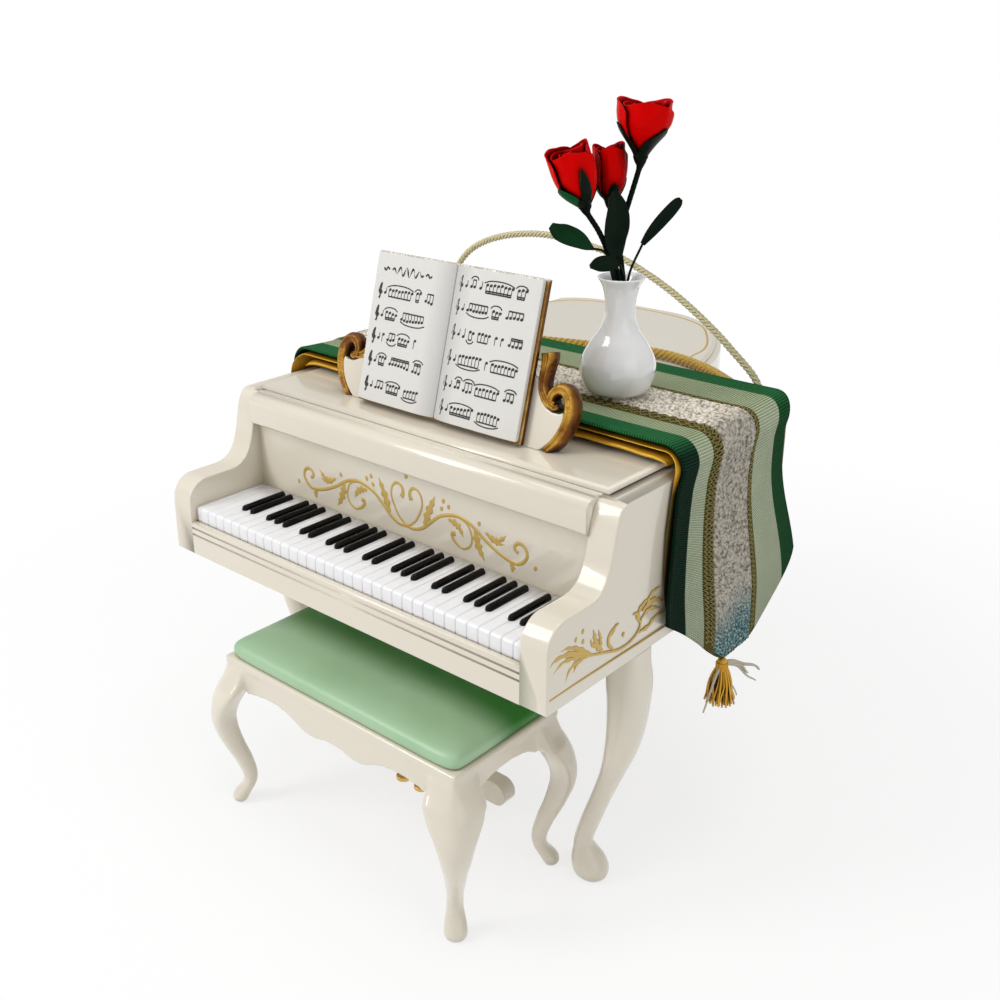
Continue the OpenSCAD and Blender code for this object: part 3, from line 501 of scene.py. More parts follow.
down = np.interp(profile[:, 1], [KEY_TOP - KEY_ROUND, KEY_TOP], [0, -1])
yz = profile + GROOVE_DEPTH * groove * np.column_stack([back, down])
under = np.broadcast_to([KEY_BACK - PLAY, KEYBED_TOP], (len(x), 1, 2))
yz = np.concatenate([yz, under], 1)
rings = np.concatenate([np.broadcast_to(x[:, None, None], yz[..., :1].shape), yz], -1)
whites = surface("white_keys_cast", [at(rings)])

# A black key's section is a half round whose width follows cos(t)^0.7 towards both ends.
blacks = []
a, t = np.radians(np.linspace(-25, 205, 17)), np.radians(np.linspace(-88, 88, 16))[:, None]
wide = np.cos(t) ** 0.7
run = BLACK_W / 2 * (1 + np.sin(t)) + (BLACK_LEN - BLACK_W) * (t > 0)
y = KEY_BACK - BLACK_SET_BACK - BLACK_LEN + run
z = KEY_TOP + BLACK_H * (0.35 + 0.65 * wide) * np.maximum(np.sin(a), 0) - PLAY
for k in range(WHITES - 1 - FIRST_BLACK):
    if k % 7 not in NO_BLACK:
        x = seams[FIRST_BLACK + k] + 1.02 * BLACK_W / 2 * wide * np.cos(a)
        blacks.append(at(np.stack(np.broadcast_arrays(x, y, z), -1)))
black = surface("black_keys_cast", blacks)


def key_white():
    """Plain white gloss, clouded a little."""
    made, tree = material("white_keys", Roughness=0.32, Coat_Weight=0.25)
    paint = scaled(tree, srgb(233, 233, 235)[:3], clouded(tree, 300.0, 0.04))
    return painted(made, paint)


def key_black():
    """Black gloss with a faint haze."""
    made, tree = material("black_keys", Roughness=0.18, Specular_IOR_Level=0.16)
    paint = ramp(tree, clouded(tree, 500.0, 0.5), (0.8, srgb(3, 3, 4)), (1.0, srgb(9, 9, 10)))
    return painted(made, paint)


finished(whites, "piano", "key_white", key_white(), "white_keys")
finished(black, "piano", "key_black", key_black(), "black_keys")

# ---- Legs of the piano ----
# S-curved cast legs: a square block at the top, a full knee, a thin ankle and a round toe
# turned outwards. Rows give height, offset, half width and the power of the section.

LEG_ROWS = np.array(
    [
        (0, -2.04, 0.72, 2), (0.015, -2.08, 1.0, 2), (0.045, -2.15, 1.14, 2),
        (0.08, -2.35, 1.04, 2), (0.11, -2.58, 0.78, 2), (0.145, -2.72, 0.62, 2),
        (0.24, -2.23, 0.65, 2), (0.36, -1.5, 0.66, 2), (0.48, -0.77, 0.77, 2),
        (0.59, -0.23, 1.0, 2.1), (0.69, 0.05, 1.13, 2.4), (0.79, 0.15, 1.18, 3),
        (0.87, 0.11, 1.19, 4), (0.945, 0.03, 1.04, 6), (1, 0, 1, 8),
    ]
)  # fmt: skip
LEG_TOP, UNDERSIDE = 2.6, 46.0
FRONT_LEG = (CASE_HALF - LEG_TOP - 0.2, 24.0)
TAIL_LEG = (-18.0, 99.0)


def even_rows(rows, count):
    """Rows of a leg read at count even heights on a smooth curve through them."""
    line = smooth_path(rows, count * 4)
    heights = np.linspace(rows[0, 0], rows[-1, 0], count)
    values = [np.interp(heights, line[:, 0], line[:, k]) for k in (1, 2, 3)]
    return np.column_stack([heights, *values])


def leg(name, foot, out, rows, height, size, sides=40, count=90, toe=0.0, widen=((0, 1), (1, 1))):
    """Rings up a leg: ring k is a superellipse of power p, so that its radius at angle a is
    half / (|cos a|^p + |sin a|^p)^(1/p), moved along out by its own offset. The lowest tenth
    reaches further along out by the share toe. widen gives shares of the height and how much
    wider the leg is there, square to out."""
    rows = even_rows(rows, count)
    angle = circle(sides) + np.pi / sides
    power = rows[:, 3:4]
    spread = np.abs(np.cos(angle)) ** power + np.abs(np.sin(angle)) ** power
    radius = rows[:, 2:3] * size / spread ** (1 / power)
    centre = np.asarray(foot, float) + rows[:, 1:2] * size * np.asarray(out, float)
    ahead = toe * np.clip(1 - rows[:, :1] / 0.1, 0, 1)
    reach = radius * (1 + ahead * np.abs(np.cos(angle) * out[0] + np.sin(angle) * out[1]))
    spot = np.stack([reach * np.cos(angle), reach * np.sin(angle)], -1)
    across = np.array([-out[1], out[0]])
    more = np.interp(rows[:, 0], *zip(*widen))[:, None, None] - 1
    spot = centre[:, None] + spot + more * (spot @ across)[..., None] * across
    tall = np.broadcast_to(rows[:, :1, None] * height, (*radius.shape, 1))
    return surface(name, [at(np.concatenate([spot, tall], -1))])


for name, foot, out in (
    ("leg_front_right", FRONT_LEG, (1, 0)),
    ("leg_front_left", (-FRONT_LEG[0], FRONT_LEG[1]), (-1, 0)),
    ("leg_tail", TAIL_LEG, (0, 1)),
):
    cast = leg(name + "_cast", foot, out, LEG_ROWS, UNDERSIDE, LEG_TOP, toe=0.12)
    finished(cast, "piano", "case_ivory", ivory, name)

# ---- Pedals ----
# Three turned brass pedals, cast with the lyre's box and gilded.


def gilt(name, light, dark, roughness, metallic=0.85):
    """Gold paint or plate: painted shade darkens it in its hollows; clouded by handling."""
    made, tree = material(name, Roughness=roughness, Metallic=metallic)
    clouds = clouded(tree, 420.0, 0.7)
    # Painted shade: darker in the hollows, by ambient occlusion.
    depth = times(tree, hollow(tree, 1.6 * MM, 6), clouds)
    return painted(made, ramp(tree, depth, (0.3, dark), (0.95, light)), clouds, 0.18 * MM, 0.6)


brass = gilt("pedal_brass", srgb(222, 184, 104), srgb(120, 84, 34), 0.3)
finished(eased("pedals_cast", "pedals", 0.3), "piano", "pedal_brass", brass, "pedals")

# ---- Scrolls of the music desk ----
# A carved scroll at each end of the desk: a stub cut off at the top, a neck, a volute and a
# broad C down to the foot, cast with the desk and painted antique gold over brown.

BOOK_Y, BOOK_T = 21.8, 1.9
TILT = np.radians(14.8)
SLOPE_X, SLOPE_Z = 0.4, LID_TOP + 0.3 + BOOK_T * np.sin(TILT)
DESK_HALF, SCROLL_FRONT, SCROLL_BACK, NECK_TUCK = 27.2, BOOK_T + 1.05, 1.05, 0.9
# Points of a scroll, inwards from the desk's end and up, with its width there.
SCROLL_BODY = [
    (-5.8, -0.5, 1.0), (-4.9, 0.5, 1.7), (-3.7, 2.0, 2.1), (-2.7, 4.0, 2.3), (-2.3, 6.1, 2.5),
    (-2.5, 8.0, 2.5), (-3.5, 9.4, 2.3), (-4.9, 9.6, 2.0), (-6.0, 8.6, 1.8), (-6.0, 7.3, 1.6),
    (-5.2, 6.7, 1.4), (-4.5, 7.1, 1.1),
]  # fmt: skip
SCROLL_NECK = [
    (-5.2, 7.0, 1.8), (-6.7, 7.4, 2.2), (-7.9, 9.0, 2.1), (-8.2, 10.8, 2.0), (-8.1, 12.6, 2.2),
    (-8.1, 13.8, 2.6), (-8.3, 14.6, 2.8),
]  # fmt: skip


def ribbon(line, widths, height, place, sharp=2.0, groove=0.0, steps=3, back=0.0):
    """Grid of rings round a raised band: across it, its height is height * (1 - |s|^sharp),
    cut by a groove along its middle. place turns flat x, y and a height into a point."""
    line = np.asarray(line, float)
    along = np.gradient(line, axis=0)
    along /= np.linalg.norm(along, axis=1, keepdims=True) + 1e-9
    across = np.column_stack([-along[:, 1], along[:, 0]])
    half = np.broadcast_to(np.asarray(widths, float), (len(line),))[:, None] / 2
    s = np.linspace(-1, 1, steps)
    dome = (1 - np.abs(s) ** sharp) * (1 - groove * np.exp(-((s / 0.25) ** 2)))
    s, dome = np.r_[s, 1, -1], np.r_[dome * height, -back, -back]
    flat = line[:, None] + across[:, None] * (half * s)[..., None]
    tall = np.where(dome > 0, dome * np.clip(half / half.max() * 1.6, 0.25, 1), dome)
    return place(flat[..., 0], flat[..., 1], tall)


def spots(*coordinates):
    """Points at x, y and z in millimetres, each a number or an array."""
    return at(np.stack(np.broadcast_arrays(*coordinates), -1))


def on_slope(u, into, up):
    """Points on the sloping desk: along it, into it from the face of the book, and up it."""
    y = BOOK_Y + into * np.cos(TILT) + up * np.sin(TILT)
    return spots(SLOPE_X + u, y, SLOPE_Z - into * np.sin(TILT) + up * np.cos(TILT))


def carved(side):
    """One scroll; side is 1 for the treble end and -1 for the bass end, whose neck leans in."""

    def place(u, up, height):
        return on_slope(side * u, SCROLL_FRONT - height, up)

    neck = np.array(SCROLL_NECK)
    neck[1:, 0] -= NECK_TUCK * (side < 0)
    grids = []
    for rows, count, height, groove in ((SCROLL_BODY, 90, 1.0, 0.28), (neck, 44, 0.9, 0.34)):
        line = smooth_path(np.array(rows) + [DESK_HALF, 0, 0], count)
        band = ribbon(line[:, :2], line[:, 2], height, place, 3.4, groove, 15, SCROLL_BACK)
        grids.append(band)
    return grids


def rubbed(name, rough, size, worn, *stops):
    """Gold rubbed over a dark ground: stops give the paint from hollows and sides to crests,
    which are the parts that look out of the desk's front or back. The dark of the hollows is
    partly the ground and partly painted shade, the sides are painted dark as shade and the
    crests are painted light. It is pale above worn."""
    made, tree = material(name, Roughness=rough, Metallic=0.3, Specular_IOR_Level=0.3)
    clouds = clouded(tree, size, 1.1)
    out = (0, -float(np.cos(TILT)), float(np.sin(TILT)))
    # Painted light and shade: faces that look out of the desk are lighter, its sides darker.
    normal = put(tree, "TexCoord", {}, "Normal")
    lit_facing = put(tree, "VectorMath", {0: normal, 1: out}, "Value", operation="DOT_PRODUCT")
    lit_facing = maths(tree, "ABSOLUTE", lit_facing)
    open_to = times(tree, hollow(tree, 2 * MM, 10), 0.5)
    depth = times(tree, maths(tree, "MULTIPLY_ADD", lit_facing, 0.45, open_to), clouds)
    pale = maths(tree, "GREATER_THAN", axis(tree, 2, position(tree)), worn)
    paint = blended(tree, pale, ramp(tree, depth, *stops), srgb(196, 190, 178))
    return painted(made, paint, clouds, MM, 0.9)


aged = rubbed(
    "antique_gold", 0.36, 420.0, 1.0,
    (0.2, srgb(32, 8, 0)), (0.5, srgb(78, 34, 0)),
    (0.75, srgb(126, 76, 2)), (1.0, srgb(190, 144, 50)),
)  # fmt: skip
for side, node in ((1, "desk_scroll_right"), (-1, "desk_scroll_left")):
    finished(surface(node + "_carved", carved(side)), "piano", "antique_gold", aged, node)

# ---- Music book ----
# An open book: a gilt-edged cover behind two blocks of pages that curve into the fold. The
# notation is generic: clefs, beamed notes and slurs, with a flourish where a title would be.

PAGE_SHADE, GILT_FOOT, BOOK_TALL, INK = 4.2, 0.3, 25.3, 0.03
TREBLE_STAVES, TREBLE_FROM, TREBLE_TO = (22.6, 18.9, 14.9, 10.8, 6.6, 2.7), 1.7, 15.6
BASS_STAVES, BASS_FROM, BASS_TO = (19.0, 15.2, 11.4, 7.5, 3.2), -15.7, -3.6
TITLE_FROM, TITLE_LENGTH, TITLE_UP = -13.6, 7.2, 22.6


def paper():
    """White paper, with painted shade that greys it towards the fold, and a gilt foot."""
    made, tree = material("page_paper", Roughness=0.55)
    fibres = clouded(tree, 260.0, 0.05)
    across = maths(tree, "SUBTRACT", axis(tree, 0, position(tree)), SLOPE_X * MM)
    share = times(tree, maths(tree, "ABSOLUTE", across), 1 / (PAGE_SHADE * MM))
    # Painted shade: greyer towards the fold.
    greys = (0.0, srgb(190, 189, 186)), (0.45, srgb(202, 200, 196)), (1.0, srgb(216, 214, 209))
    white = scaled(tree, ramp(tree, share, *greys), fibres)
    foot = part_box("book_page_left")[0].z + GILT_FOOT * MM
    above = between(tree, axis(tree, 2, position(tree)), foot, foot + 0.1 * MM)
    paint = blended(tree, above, srgb(150, 110, 34), white)
    return painted(made, paint)


page = paper()
for node in ("book_page_left", "book_page_right"):
    finished(eased(node + "_block", node, 0.12, 2), "book", "page_paper", page, node)
gilt_edge = rubbed(
    "cover_gold", 0.3, 240.0, (SLOPE_Z + BOOK_TALL * np.cos(TILT) - 0.4) * MM,
    (0.3, srgb(56, 22, 2)), (0.52, srgb(108, 62, 10)),
    (0.8, srgb(160, 118, 46)), (0.95, srgb(214, 186, 120)),
)  # fmt: skip
cover = eased("book_cover_bound", "book_cover", 0.12, 2)
finished(cover, "book", "cover_gold", gilt_edge, "book_cover")

dice = np.random.default_rng(7)


def on_page(u, up, height):
    """Ink on a page, height out of the paper. The page's face lies further behind the front
    of the book near the fold, by 0.605 * (1 - u / 5)^2.6, and a little at the outer edge."""
    far = np.abs(u)
    depth = 0.605 * np.clip((5 - far) / 4.95, 0, 1) ** 2.6
    depth = depth + 0.1 * np.clip((far - 5) / 10, 0, 1) + 0.25 * np.clip((far - 15) / 3, 0, 1)
    return on_slope(u, depth - 0.02 - height, up)


def stroke(line, width, steps=3):
    """A flat line drawn in ink."""
    return ribbon(line, width, INK, on_page, steps=steps)


def ink(points, width, count=10):
    """One stroke of ink through flat points."""
    return stroke(smooth_path(points, count), width)


def note(u, up, stem):
    """A note's slanting oval head and its stem, which may go up or down."""
    t = np.linspace(-1, 1, 9)
    line = np.column_stack([u + 0.27 * t, up + 0.1 * t])
    edge = u + (0.22 if stem > 0 else -0.22)
    head = stroke(line, 0.46 * np.sqrt(1.02 - t**2), 5)
    return [head, ink([(edge, up), (edge, up + stem)], 0.13, 4)]


def clef(u, up):
    """A treble clef: a heavy upright with a coil round its foot."""
    a = np.linspace(-0.6, 2.1, 16) * np.pi
    r = np.linspace(0.18, 0.42, 16)
    upright = np.array([(-0.25, -1.15), (0, -1.25), (0.02, 0), (0.12, 1.25)])
    hook = np.array([(0.12, 1.25), (-0.15, 0.85), (-0.3, 0.3), (-0.42, -0.3)])
    coil = np.column_stack([u + r * np.cos(a), up - 0.2 + r * np.sin(a)])
    return [ink(upright + [u, up], 0.3, 12), ink(hook + [u, up], 0.2, 10), ink(coil, 0.2, 24)]


def bow(first, last, foot, rise):
    """A slur from first to last, its ends at foot, bowed by rise."""
    t = np.linspace(0, 1, 7)
    up = foot + rise * (4 * t * (1 - t)) ** 0.7
    return ink(np.column_stack([first + (last - first) * t, up]), 0.2, 22)


def group(u, up, count, pitch, way, slur):
    """Notes under a beam or over it, with a slur on one side."""
    rise = dice.uniform(-0.3, 0.3, count).cumsum() * 0.5
    tips = up + way * 0.82
    strokes = []
    for k in range(count):
        low = up + float(np.clip(rise[k], -0.3, 0.3)) - way * 0.4
        strokes += note(u + k * pitch, low, tips - low)
    if count == 1:
        return strokes
    first, last = u + 0.22 * way, u + (count - 1) * pitch + 0.22 * way
    for drop in (0.0, 0.3)[: 1 + int(dice.integers(0, 2))]:
        beam = tips - way * drop
        strokes.append(ink([(first, beam), (last, beam)], 0.24, 4))
    if slur:
        foot = up + slur * (0.9 if slur == way else 0.7)
        strokes.append(bow(first - 0.45, last + 0.45, foot, slur * 0.5))
    return strokes


def stave(first, last, up):
    """One row of music from its clef to the margin."""
    strokes = clef(first, up) + note(first + 1.2, up - 0.3, 0.9)
    u = first + 2.3
    while u < last - 1.2:
        count = int(dice.choice([1, 2, 3, 4, 5, 7, 8]))
        pitch = float(dice.uniform(0.62, 0.74))
        count = max(1, min(count, int((last - u) / pitch) + 1))
        way = 1 if dice.random() < 0.5 else -1
        strokes += group(u, up, count, pitch, way, int(dice.choice([-1, 1, 1, 0])))
        u += (count - 1) * pitch + float(dice.uniform(1.1, 1.5))
    return strokes


strokes = []
for up in BASS_STAVES:
    strokes += stave(BASS_FROM, BASS_TO, up)
for up in TREBLE_STAVES:
    strokes += stave(TREBLE_FROM, TREBLE_TO, up)
run = np.linspace(0, 1, 60)
up = TITLE_UP + 0.75 * np.sin(run * 31) * np.sin(np.pi * run) ** 0.5
flourish = smooth_path(np.column_stack([TITLE_FROM + TITLE_LENGTH * run, up]), 150)
strokes.append(stroke(flourish, 0.2 + 0.14 * np.sin(np.linspace(0, 40, 150))))
for start, way in ((-14.2, -1), (-5.9, 1)):
    curl = np.array([(0, 0), (0.5, 0.3), (0.9, -0.2), (1.4, 0.1)]) * [way, 1]
    strokes.append(ink(curl + [start, TITLE_UP], 0.3, 14))
black_ink, _ = material("black_ink", Base_Color=srgb(30, 30, 33), Roughness=0.6)
finished(surface("notation", strokes), "book", "key_black", black_ink)

# ---- Lining of the runner ----
# Gold satin ribbon folded double under the runner; the upper fold turns down over both sides
# of the case, between it and the runner.

RUNNER_FRONT, RUNNER_REAR = 30.0, 63.7
LINING_T, SIDE_GAP, TURN_R, LINING_HANG = 3.1, 0.6, 3.2, 22.0
LAYER, FOLD_INSET = LINING_T / 3, 0.3
FLAT_HALF = CASE_HALF + SIDE_GAP - TURN_R


def over_the_case(inset, down, arc_steps=14):
    """Path in x and z of a layer: up one side, round its corner, over the lid and down the
    other side. inset is how far it lies within the lining's outer face."""
    radius = TURN_R - inset
    centre = (FLAT_HALF, LID_TOP + LINING_T - TURN_R)
    turn = np.radians(np.linspace(0, 90, arc_steps))
    arc = np.column_stack([np.cos(turn), np.sin(turn)]) * radius + centre
    fall = np.linspace(LID_TOP - down, centre[1], 30)[:-1]
    half = np.vstack([np.column_stack([np.full_like(fall, centre[0] + radius), fall]), arc])
    top = np.column_stack([np.linspace(FLAT_HALF, -FLAT_HALF, 90)[1:-1], np.full(88, half[-1, 1])])
    return np.vstack([half, top, half[::-1] * [-1, 1]])


def power_of(wave, power):
    """The wave's size to a power, with its sign kept."""
    return np.sign(wave) * np.abs(wave) ** power


def soft_slab(path, front, rear, thick, power=3.5, count=56):
    """Rings round a flat band of cloth: at angle a its section is a superellipse, between a
    front and a rear edge that may move along the path, square to the path in x and z."""
    along = unit(np.gradient(path, axis=0))
    out = np.column_stack([along[:, 1], -along[:, 0]])
    a = circle(count)
    wide, tall = power_of(np.cos(a), 2 / power), power_of(np.sin(a), 2 / 2.2)
    middle, half = (front + rear)[:, None] / 2, (rear - front)[:, None] / 2
    rise = thick[:, None] / 2 * tall
    x, z = (path[:, k : k + 1] + out[:, k : k + 1] * rise for k in (0, 1))
    return spots(x, middle + half * wide, z)


# The lower fold lies flat under the runner and thins out to rounded ends.
end = FLAT_HALF + 0.6
x = np.linspace(-end, end, 120)
thick = 1.95 + 0.25 * (x + FLAT_HALF) / (2 * FLAT_HALF) + 0.12 * np.sin(x * 0.31)
thick = thick * (0.3 + 0.7 * np.clip((end - np.abs(x)) / 2.4, 0, 1) ** 0.5)
path = np.column_stack([x, LID_TOP + 0.05 + thick / 2])
ripple = 0.22 * np.sin(x * 0.21 + 2.1) + 0.1 * np.sin(x * 0.83)
front, rear = RUNNER_FRONT + 0.45 + ripple, RUNNER_REAR - 1.2 - 0.2 * ripple
lower_fold = soft_slab(path, front, rear, thick, 5.0)

# The upper fold is thinner where it hangs, and its front edge comes forward there.
path = over_the_case(FOLD_INSET, LINING_HANG)
x, z = path.T.copy()
side = np.clip((np.abs(x) - FLAT_HALF) / TURN_R, 0, 1)
thick = LAYER * (1 - side) + 0.5 * side
path[:, 1] -= (LAYER / 2 - FOLD_INSET) * (1 - side)
front = RUNNER_FRONT + 0.35 + 0.2 * np.sin(x * 0.17 + 4) * (1 - side)
front = front - 3.1 * side * np.clip((76 - z) / 12, 0, 1) ** 0.5
front = front + 1.1 * np.clip((58 - z) / 7, 0, 1) ** 2
upper_fold = soft_slab(path, front, np.full_like(front, RUNNER_REAR - 1.0), thick)
lining = surface("satin_lining", [lower_fold, upper_fold])


def satin():
    """Gold satin: a soft metal whose fine threads run along it, with painted shade that turns it
    brown in the folds and below the case's edge, where it hangs in the runner's shade."""
    made, tree = material("gold_satin", Roughness=0.45, Metallic=0.3)
    where = position(tree)
    run = put(tree, "Mapping", {"Vector": where, "Scale": (60.0, 3000.0, 3000.0)})
    threads = put(tree, "TexNoise", {"Vector": run, "Scale": 1.0, "Detail": 2.0})
    # Painted shade: brown in the folds, by ambient occlusion, and below the case's edge.
    corner = maths(tree, "SUBTRACT", hollow(tree, 1.3 * MM, 12), 0.15)
    raised = between(tree, axis(tree, 2, where), 70 * MM, 73.5 * MM, 0.3)
    depth = times(tree, maths(tree, "MULTIPLY_ADD", threads, 0.3, corner), raised)
    paint = ramp(
        tree, depth, (0.1, srgb(46, 40, 12)), (0.3, srgb(106, 84, 16)), (0.5, srgb(176, 118, 8)),
        (0.75, srgb(206, 152, 20)), (1.0, srgb(222, 178, 56)),
    )  # fmt: skip
    return painted(made, paint, threads, 0.12 * MM, 0.5)


finished(lining, "piano", "lining_gold", satin(), "runner_lining")

# ---- Runner ----
# A woven ribbon laid across the lid: ribbed green bands at both edges and a raised lace band
# between them, with gold thread couched along the lace. Both ends hang to a blunt point.

HANG, HANG_TOP, CLOTH_T = 37.0, LID_TOP + LINING_T - TURN_R, 0.5
# How far the hem hangs at shares of the width from the front edge.
HEM = smooth_path(
    [(0, 23.9), (0.12, 27.3), (0.22, 30.5), (0.32, 34.0), (0.42, 36.6), (0.52, 36.9),
     (0.62, 36.9), (0.69, 35.6), (0.8, 32.0), (0.9, 28.8), (0.97, 26.3), (1.0, 24.6)], 200,
)  # fmt: skip
# The first seventh of each end turns round the corner and the rest hangs.
CORNER_SHARE = 0.14


def ease(t, start, end):
    """Smooth step from 0 at start to 1 at end."""
    t = np.clip((t - start) / (end - start), 0, 1)
    return t * t * (3 - 2 * t)


def cloth_point(run, v, lift):
    """Point of the runner: run is 0 at the bass hem, 1 at the corner there, 2 at the other
    corner and 3 at the treble hem, v goes from its front edge to its rear edge, and lift
    is out of the cloth's middle. Each end turns through 90 degrees and then falls straight,
    with soft folds that are sines of v, while its edges step outwards with the fall s."""
    end = np.where(run < 1, 1 - run, np.where(run > 2, run - 2, 0))
    sign = np.where(run < 1.5, -1.0, 1.0)
    angle = np.pi / 2 * np.clip(end / CORNER_SHARE, 0, 1)
    depth = np.clip((end - CORNER_SHARE) / (1 - CORNER_SHARE), 0, 1)
    depth = depth * np.interp(v, HEM[:, 0], HEM[:, 1])
    s = depth / HANG
    radius = TURN_R + CLOTH_T / 2 + lift
    folds = 0.32 * ease(s, 0.1, 1) * (1 + np.sin(np.radians(540 * v - 60)))
    folds = folds + 0.35 * ease(s, 0.6, 1)
    folds = folds + 0.5 * ease(s, 0.0, 0.35) * np.clip(1 - v / 0.08, 0, 1) ** 2
    over = (2 * np.clip(run - 1, 0, 1) - 1) * FLAT_HALF
    x = np.where(end > 0, sign * (FLAT_HALF + radius * np.sin(angle) + folds), over)
    raised = 0.55 * np.abs(2 * v - 1) ** 2.2 * (1 - ease(end, 0.0, 0.3))
    z = HANG_TOP + radius * np.cos(angle) - depth + raised
    front = RUNNER_FRONT + 0.2 - 0.9 * ease(s, 0, 0.1) + 0.5 * ease(s, 0.55, 0.75)
    front = front - 2.0 * np.sin(np.radians(np.minimum(90, 150 * s)))
    rear = RUNNER_REAR + 0.2 - 3.1 * ease(end, 0.02, 0.2) + 7.3 * ease(s, 0.14, 0.78)
    wander = 0.18 * np.sin(run * 9.0) * (1 - ease(end, 0, 0.2))
    return np.stack(np.broadcast_arrays(x, front + (rear - front) * v + wander, z), -1)


def run_steps(top, end):
    """Values of run with top steps over the lid and end steps down each end."""
    return np.r_[np.linspace(0, 1, end)[:-1], np.linspace(1, 2, top)[:-1], np.linspace(2, 3, end)]


def cloth_band(name, runs, v, lift, under):
    """Band of the runner between its face and its back, with a map of the share of the width
    and the length along the cloth in hundreds of millimetres."""
    r, across = np.meshgrid(runs, v, indexing="ij")
    face = cloth_point(r, across, lift(r, across))
    back = cloth_point(r, across, under)
    far = FLAT_HALF + 40
    length = np.interp(runs, [0, 1, 2, 3], [-far, -FLAT_HALF, FLAT_HALF, far]) / 100
    along, share = np.meshgrid(length, np.r_[v, v[::-1]], indexing="ij")
    rings = at(np.concatenate([face, back[:, ::-1]], 1))
    return surface(name, [rings], "slab", [np.stack([share, along], -1)])


runs, shares = run_steps(60, 100), np.linspace(0, 1, 61)
cloth = cloth_band("runner_cloth", runs, shares, lambda r, v: CLOTH_T / 2, -CLOTH_T / 2)

# The bands' borders, as shares of the width from the front edge, and the rib's pitch.
GREEN_1, GOLD_1, LACE_1, LACE_2, GOLD_2, GREEN_2 = 0.13, 0.255, 0.34, 0.645, 0.69, 0.885
RIB, WARPS = 0.0046, 70


def clamped(tree, value):
    """A value held between 0 and 1."""
    return put(tree, "Clamp", {0: value})


def ribbon_cloth():
    """Ribbed ribbon: green at its edges, sage within, and olive under the gold thread. On its
    hanging ends its green is painted darker, as shade, and its sage is paler than on its top."""
    made, tree = material("ribbed_ribbon", Roughness=0.7, Specular_IOR_Level=0.05)
    spot = put(tree, "UVMap", {})
    v, along = axis(tree, 0, spot), axis(tree, 1, spot)
    rib = maths(tree, "SINE", times(tree, along, 2 * np.pi / RIB))
    rib = maths(tree, "MULTIPLY_ADD", rib, 0.5, 0.5)
    warp = maths(tree, "SINE", times(tree, v, 2 * np.pi * WARPS))
    weave = maths(tree, "MULTIPLY_ADD", warp, 0.12, rib)
    # Painted shade: the green bands are darker on the hanging ends than on the top.
    past = maths(tree, "SUBTRACT", maths(tree, "ABSOLUTE", along), 0.4)
    hang = clamped(tree, times(tree, past, 1 / 0.03))
    top = blended(tree, rib, srgb(22, 80, 44), srgb(52, 128, 74))
    front = blended(tree, hang, top, blended(tree, rib, srgb(6, 26, 17), srgb(18, 54, 36)))
    rear = blended(tree, hang, top, blended(tree, rib, srgb(14, 58, 28), srgb(34, 92, 48)))
    sage = blended(tree, weave, srgb(114, 132, 90), srgb(198, 208, 172))
    sage = blended(tree, times(tree, hang, 0.35), sage, srgb(206, 214, 196))
    olive = blended(tree, rib, srgb(52, 46, 16), srgb(132, 124, 56))
    colour = front
    for border, paint in ((GREEN_1, sage), (GOLD_1, olive), (GOLD_2, sage), (GREEN_2, rear)):
        step = maths(tree, "MULTIPLY_ADD", maths(tree, "SUBTRACT", v, border), 260.0, 0.5)
        colour = blended(tree, clamped(tree, step), colour, paint)
    return painted(made, scaled(tree, colour, clouded(tree, 160.0, 0.25)), weave, 0.24 * MM)


finished(cloth, "piano", "runner_ribbon", ribbon_cloth(), "runner")


def speckle(r, v):
    """Height of the looped yarn of the lace: waves of several pitches multiplied."""
    a = np.sin(r * 131 + 5 * v * 17) * np.sin(v * 173 + 3.1 * np.sin(r * 47))
    b = np.sin(r * 311 + v * 97) * np.sin(v * 389 - r * 53)
    edge = np.clip((v - LACE_1) / 0.02, 0, 1) * np.clip((LACE_2 - v) / 0.02, 0, 1)
    return CLOTH_T / 2 + 0.1 + edge * (0.28 + 0.12 * a + 0.1 * b)


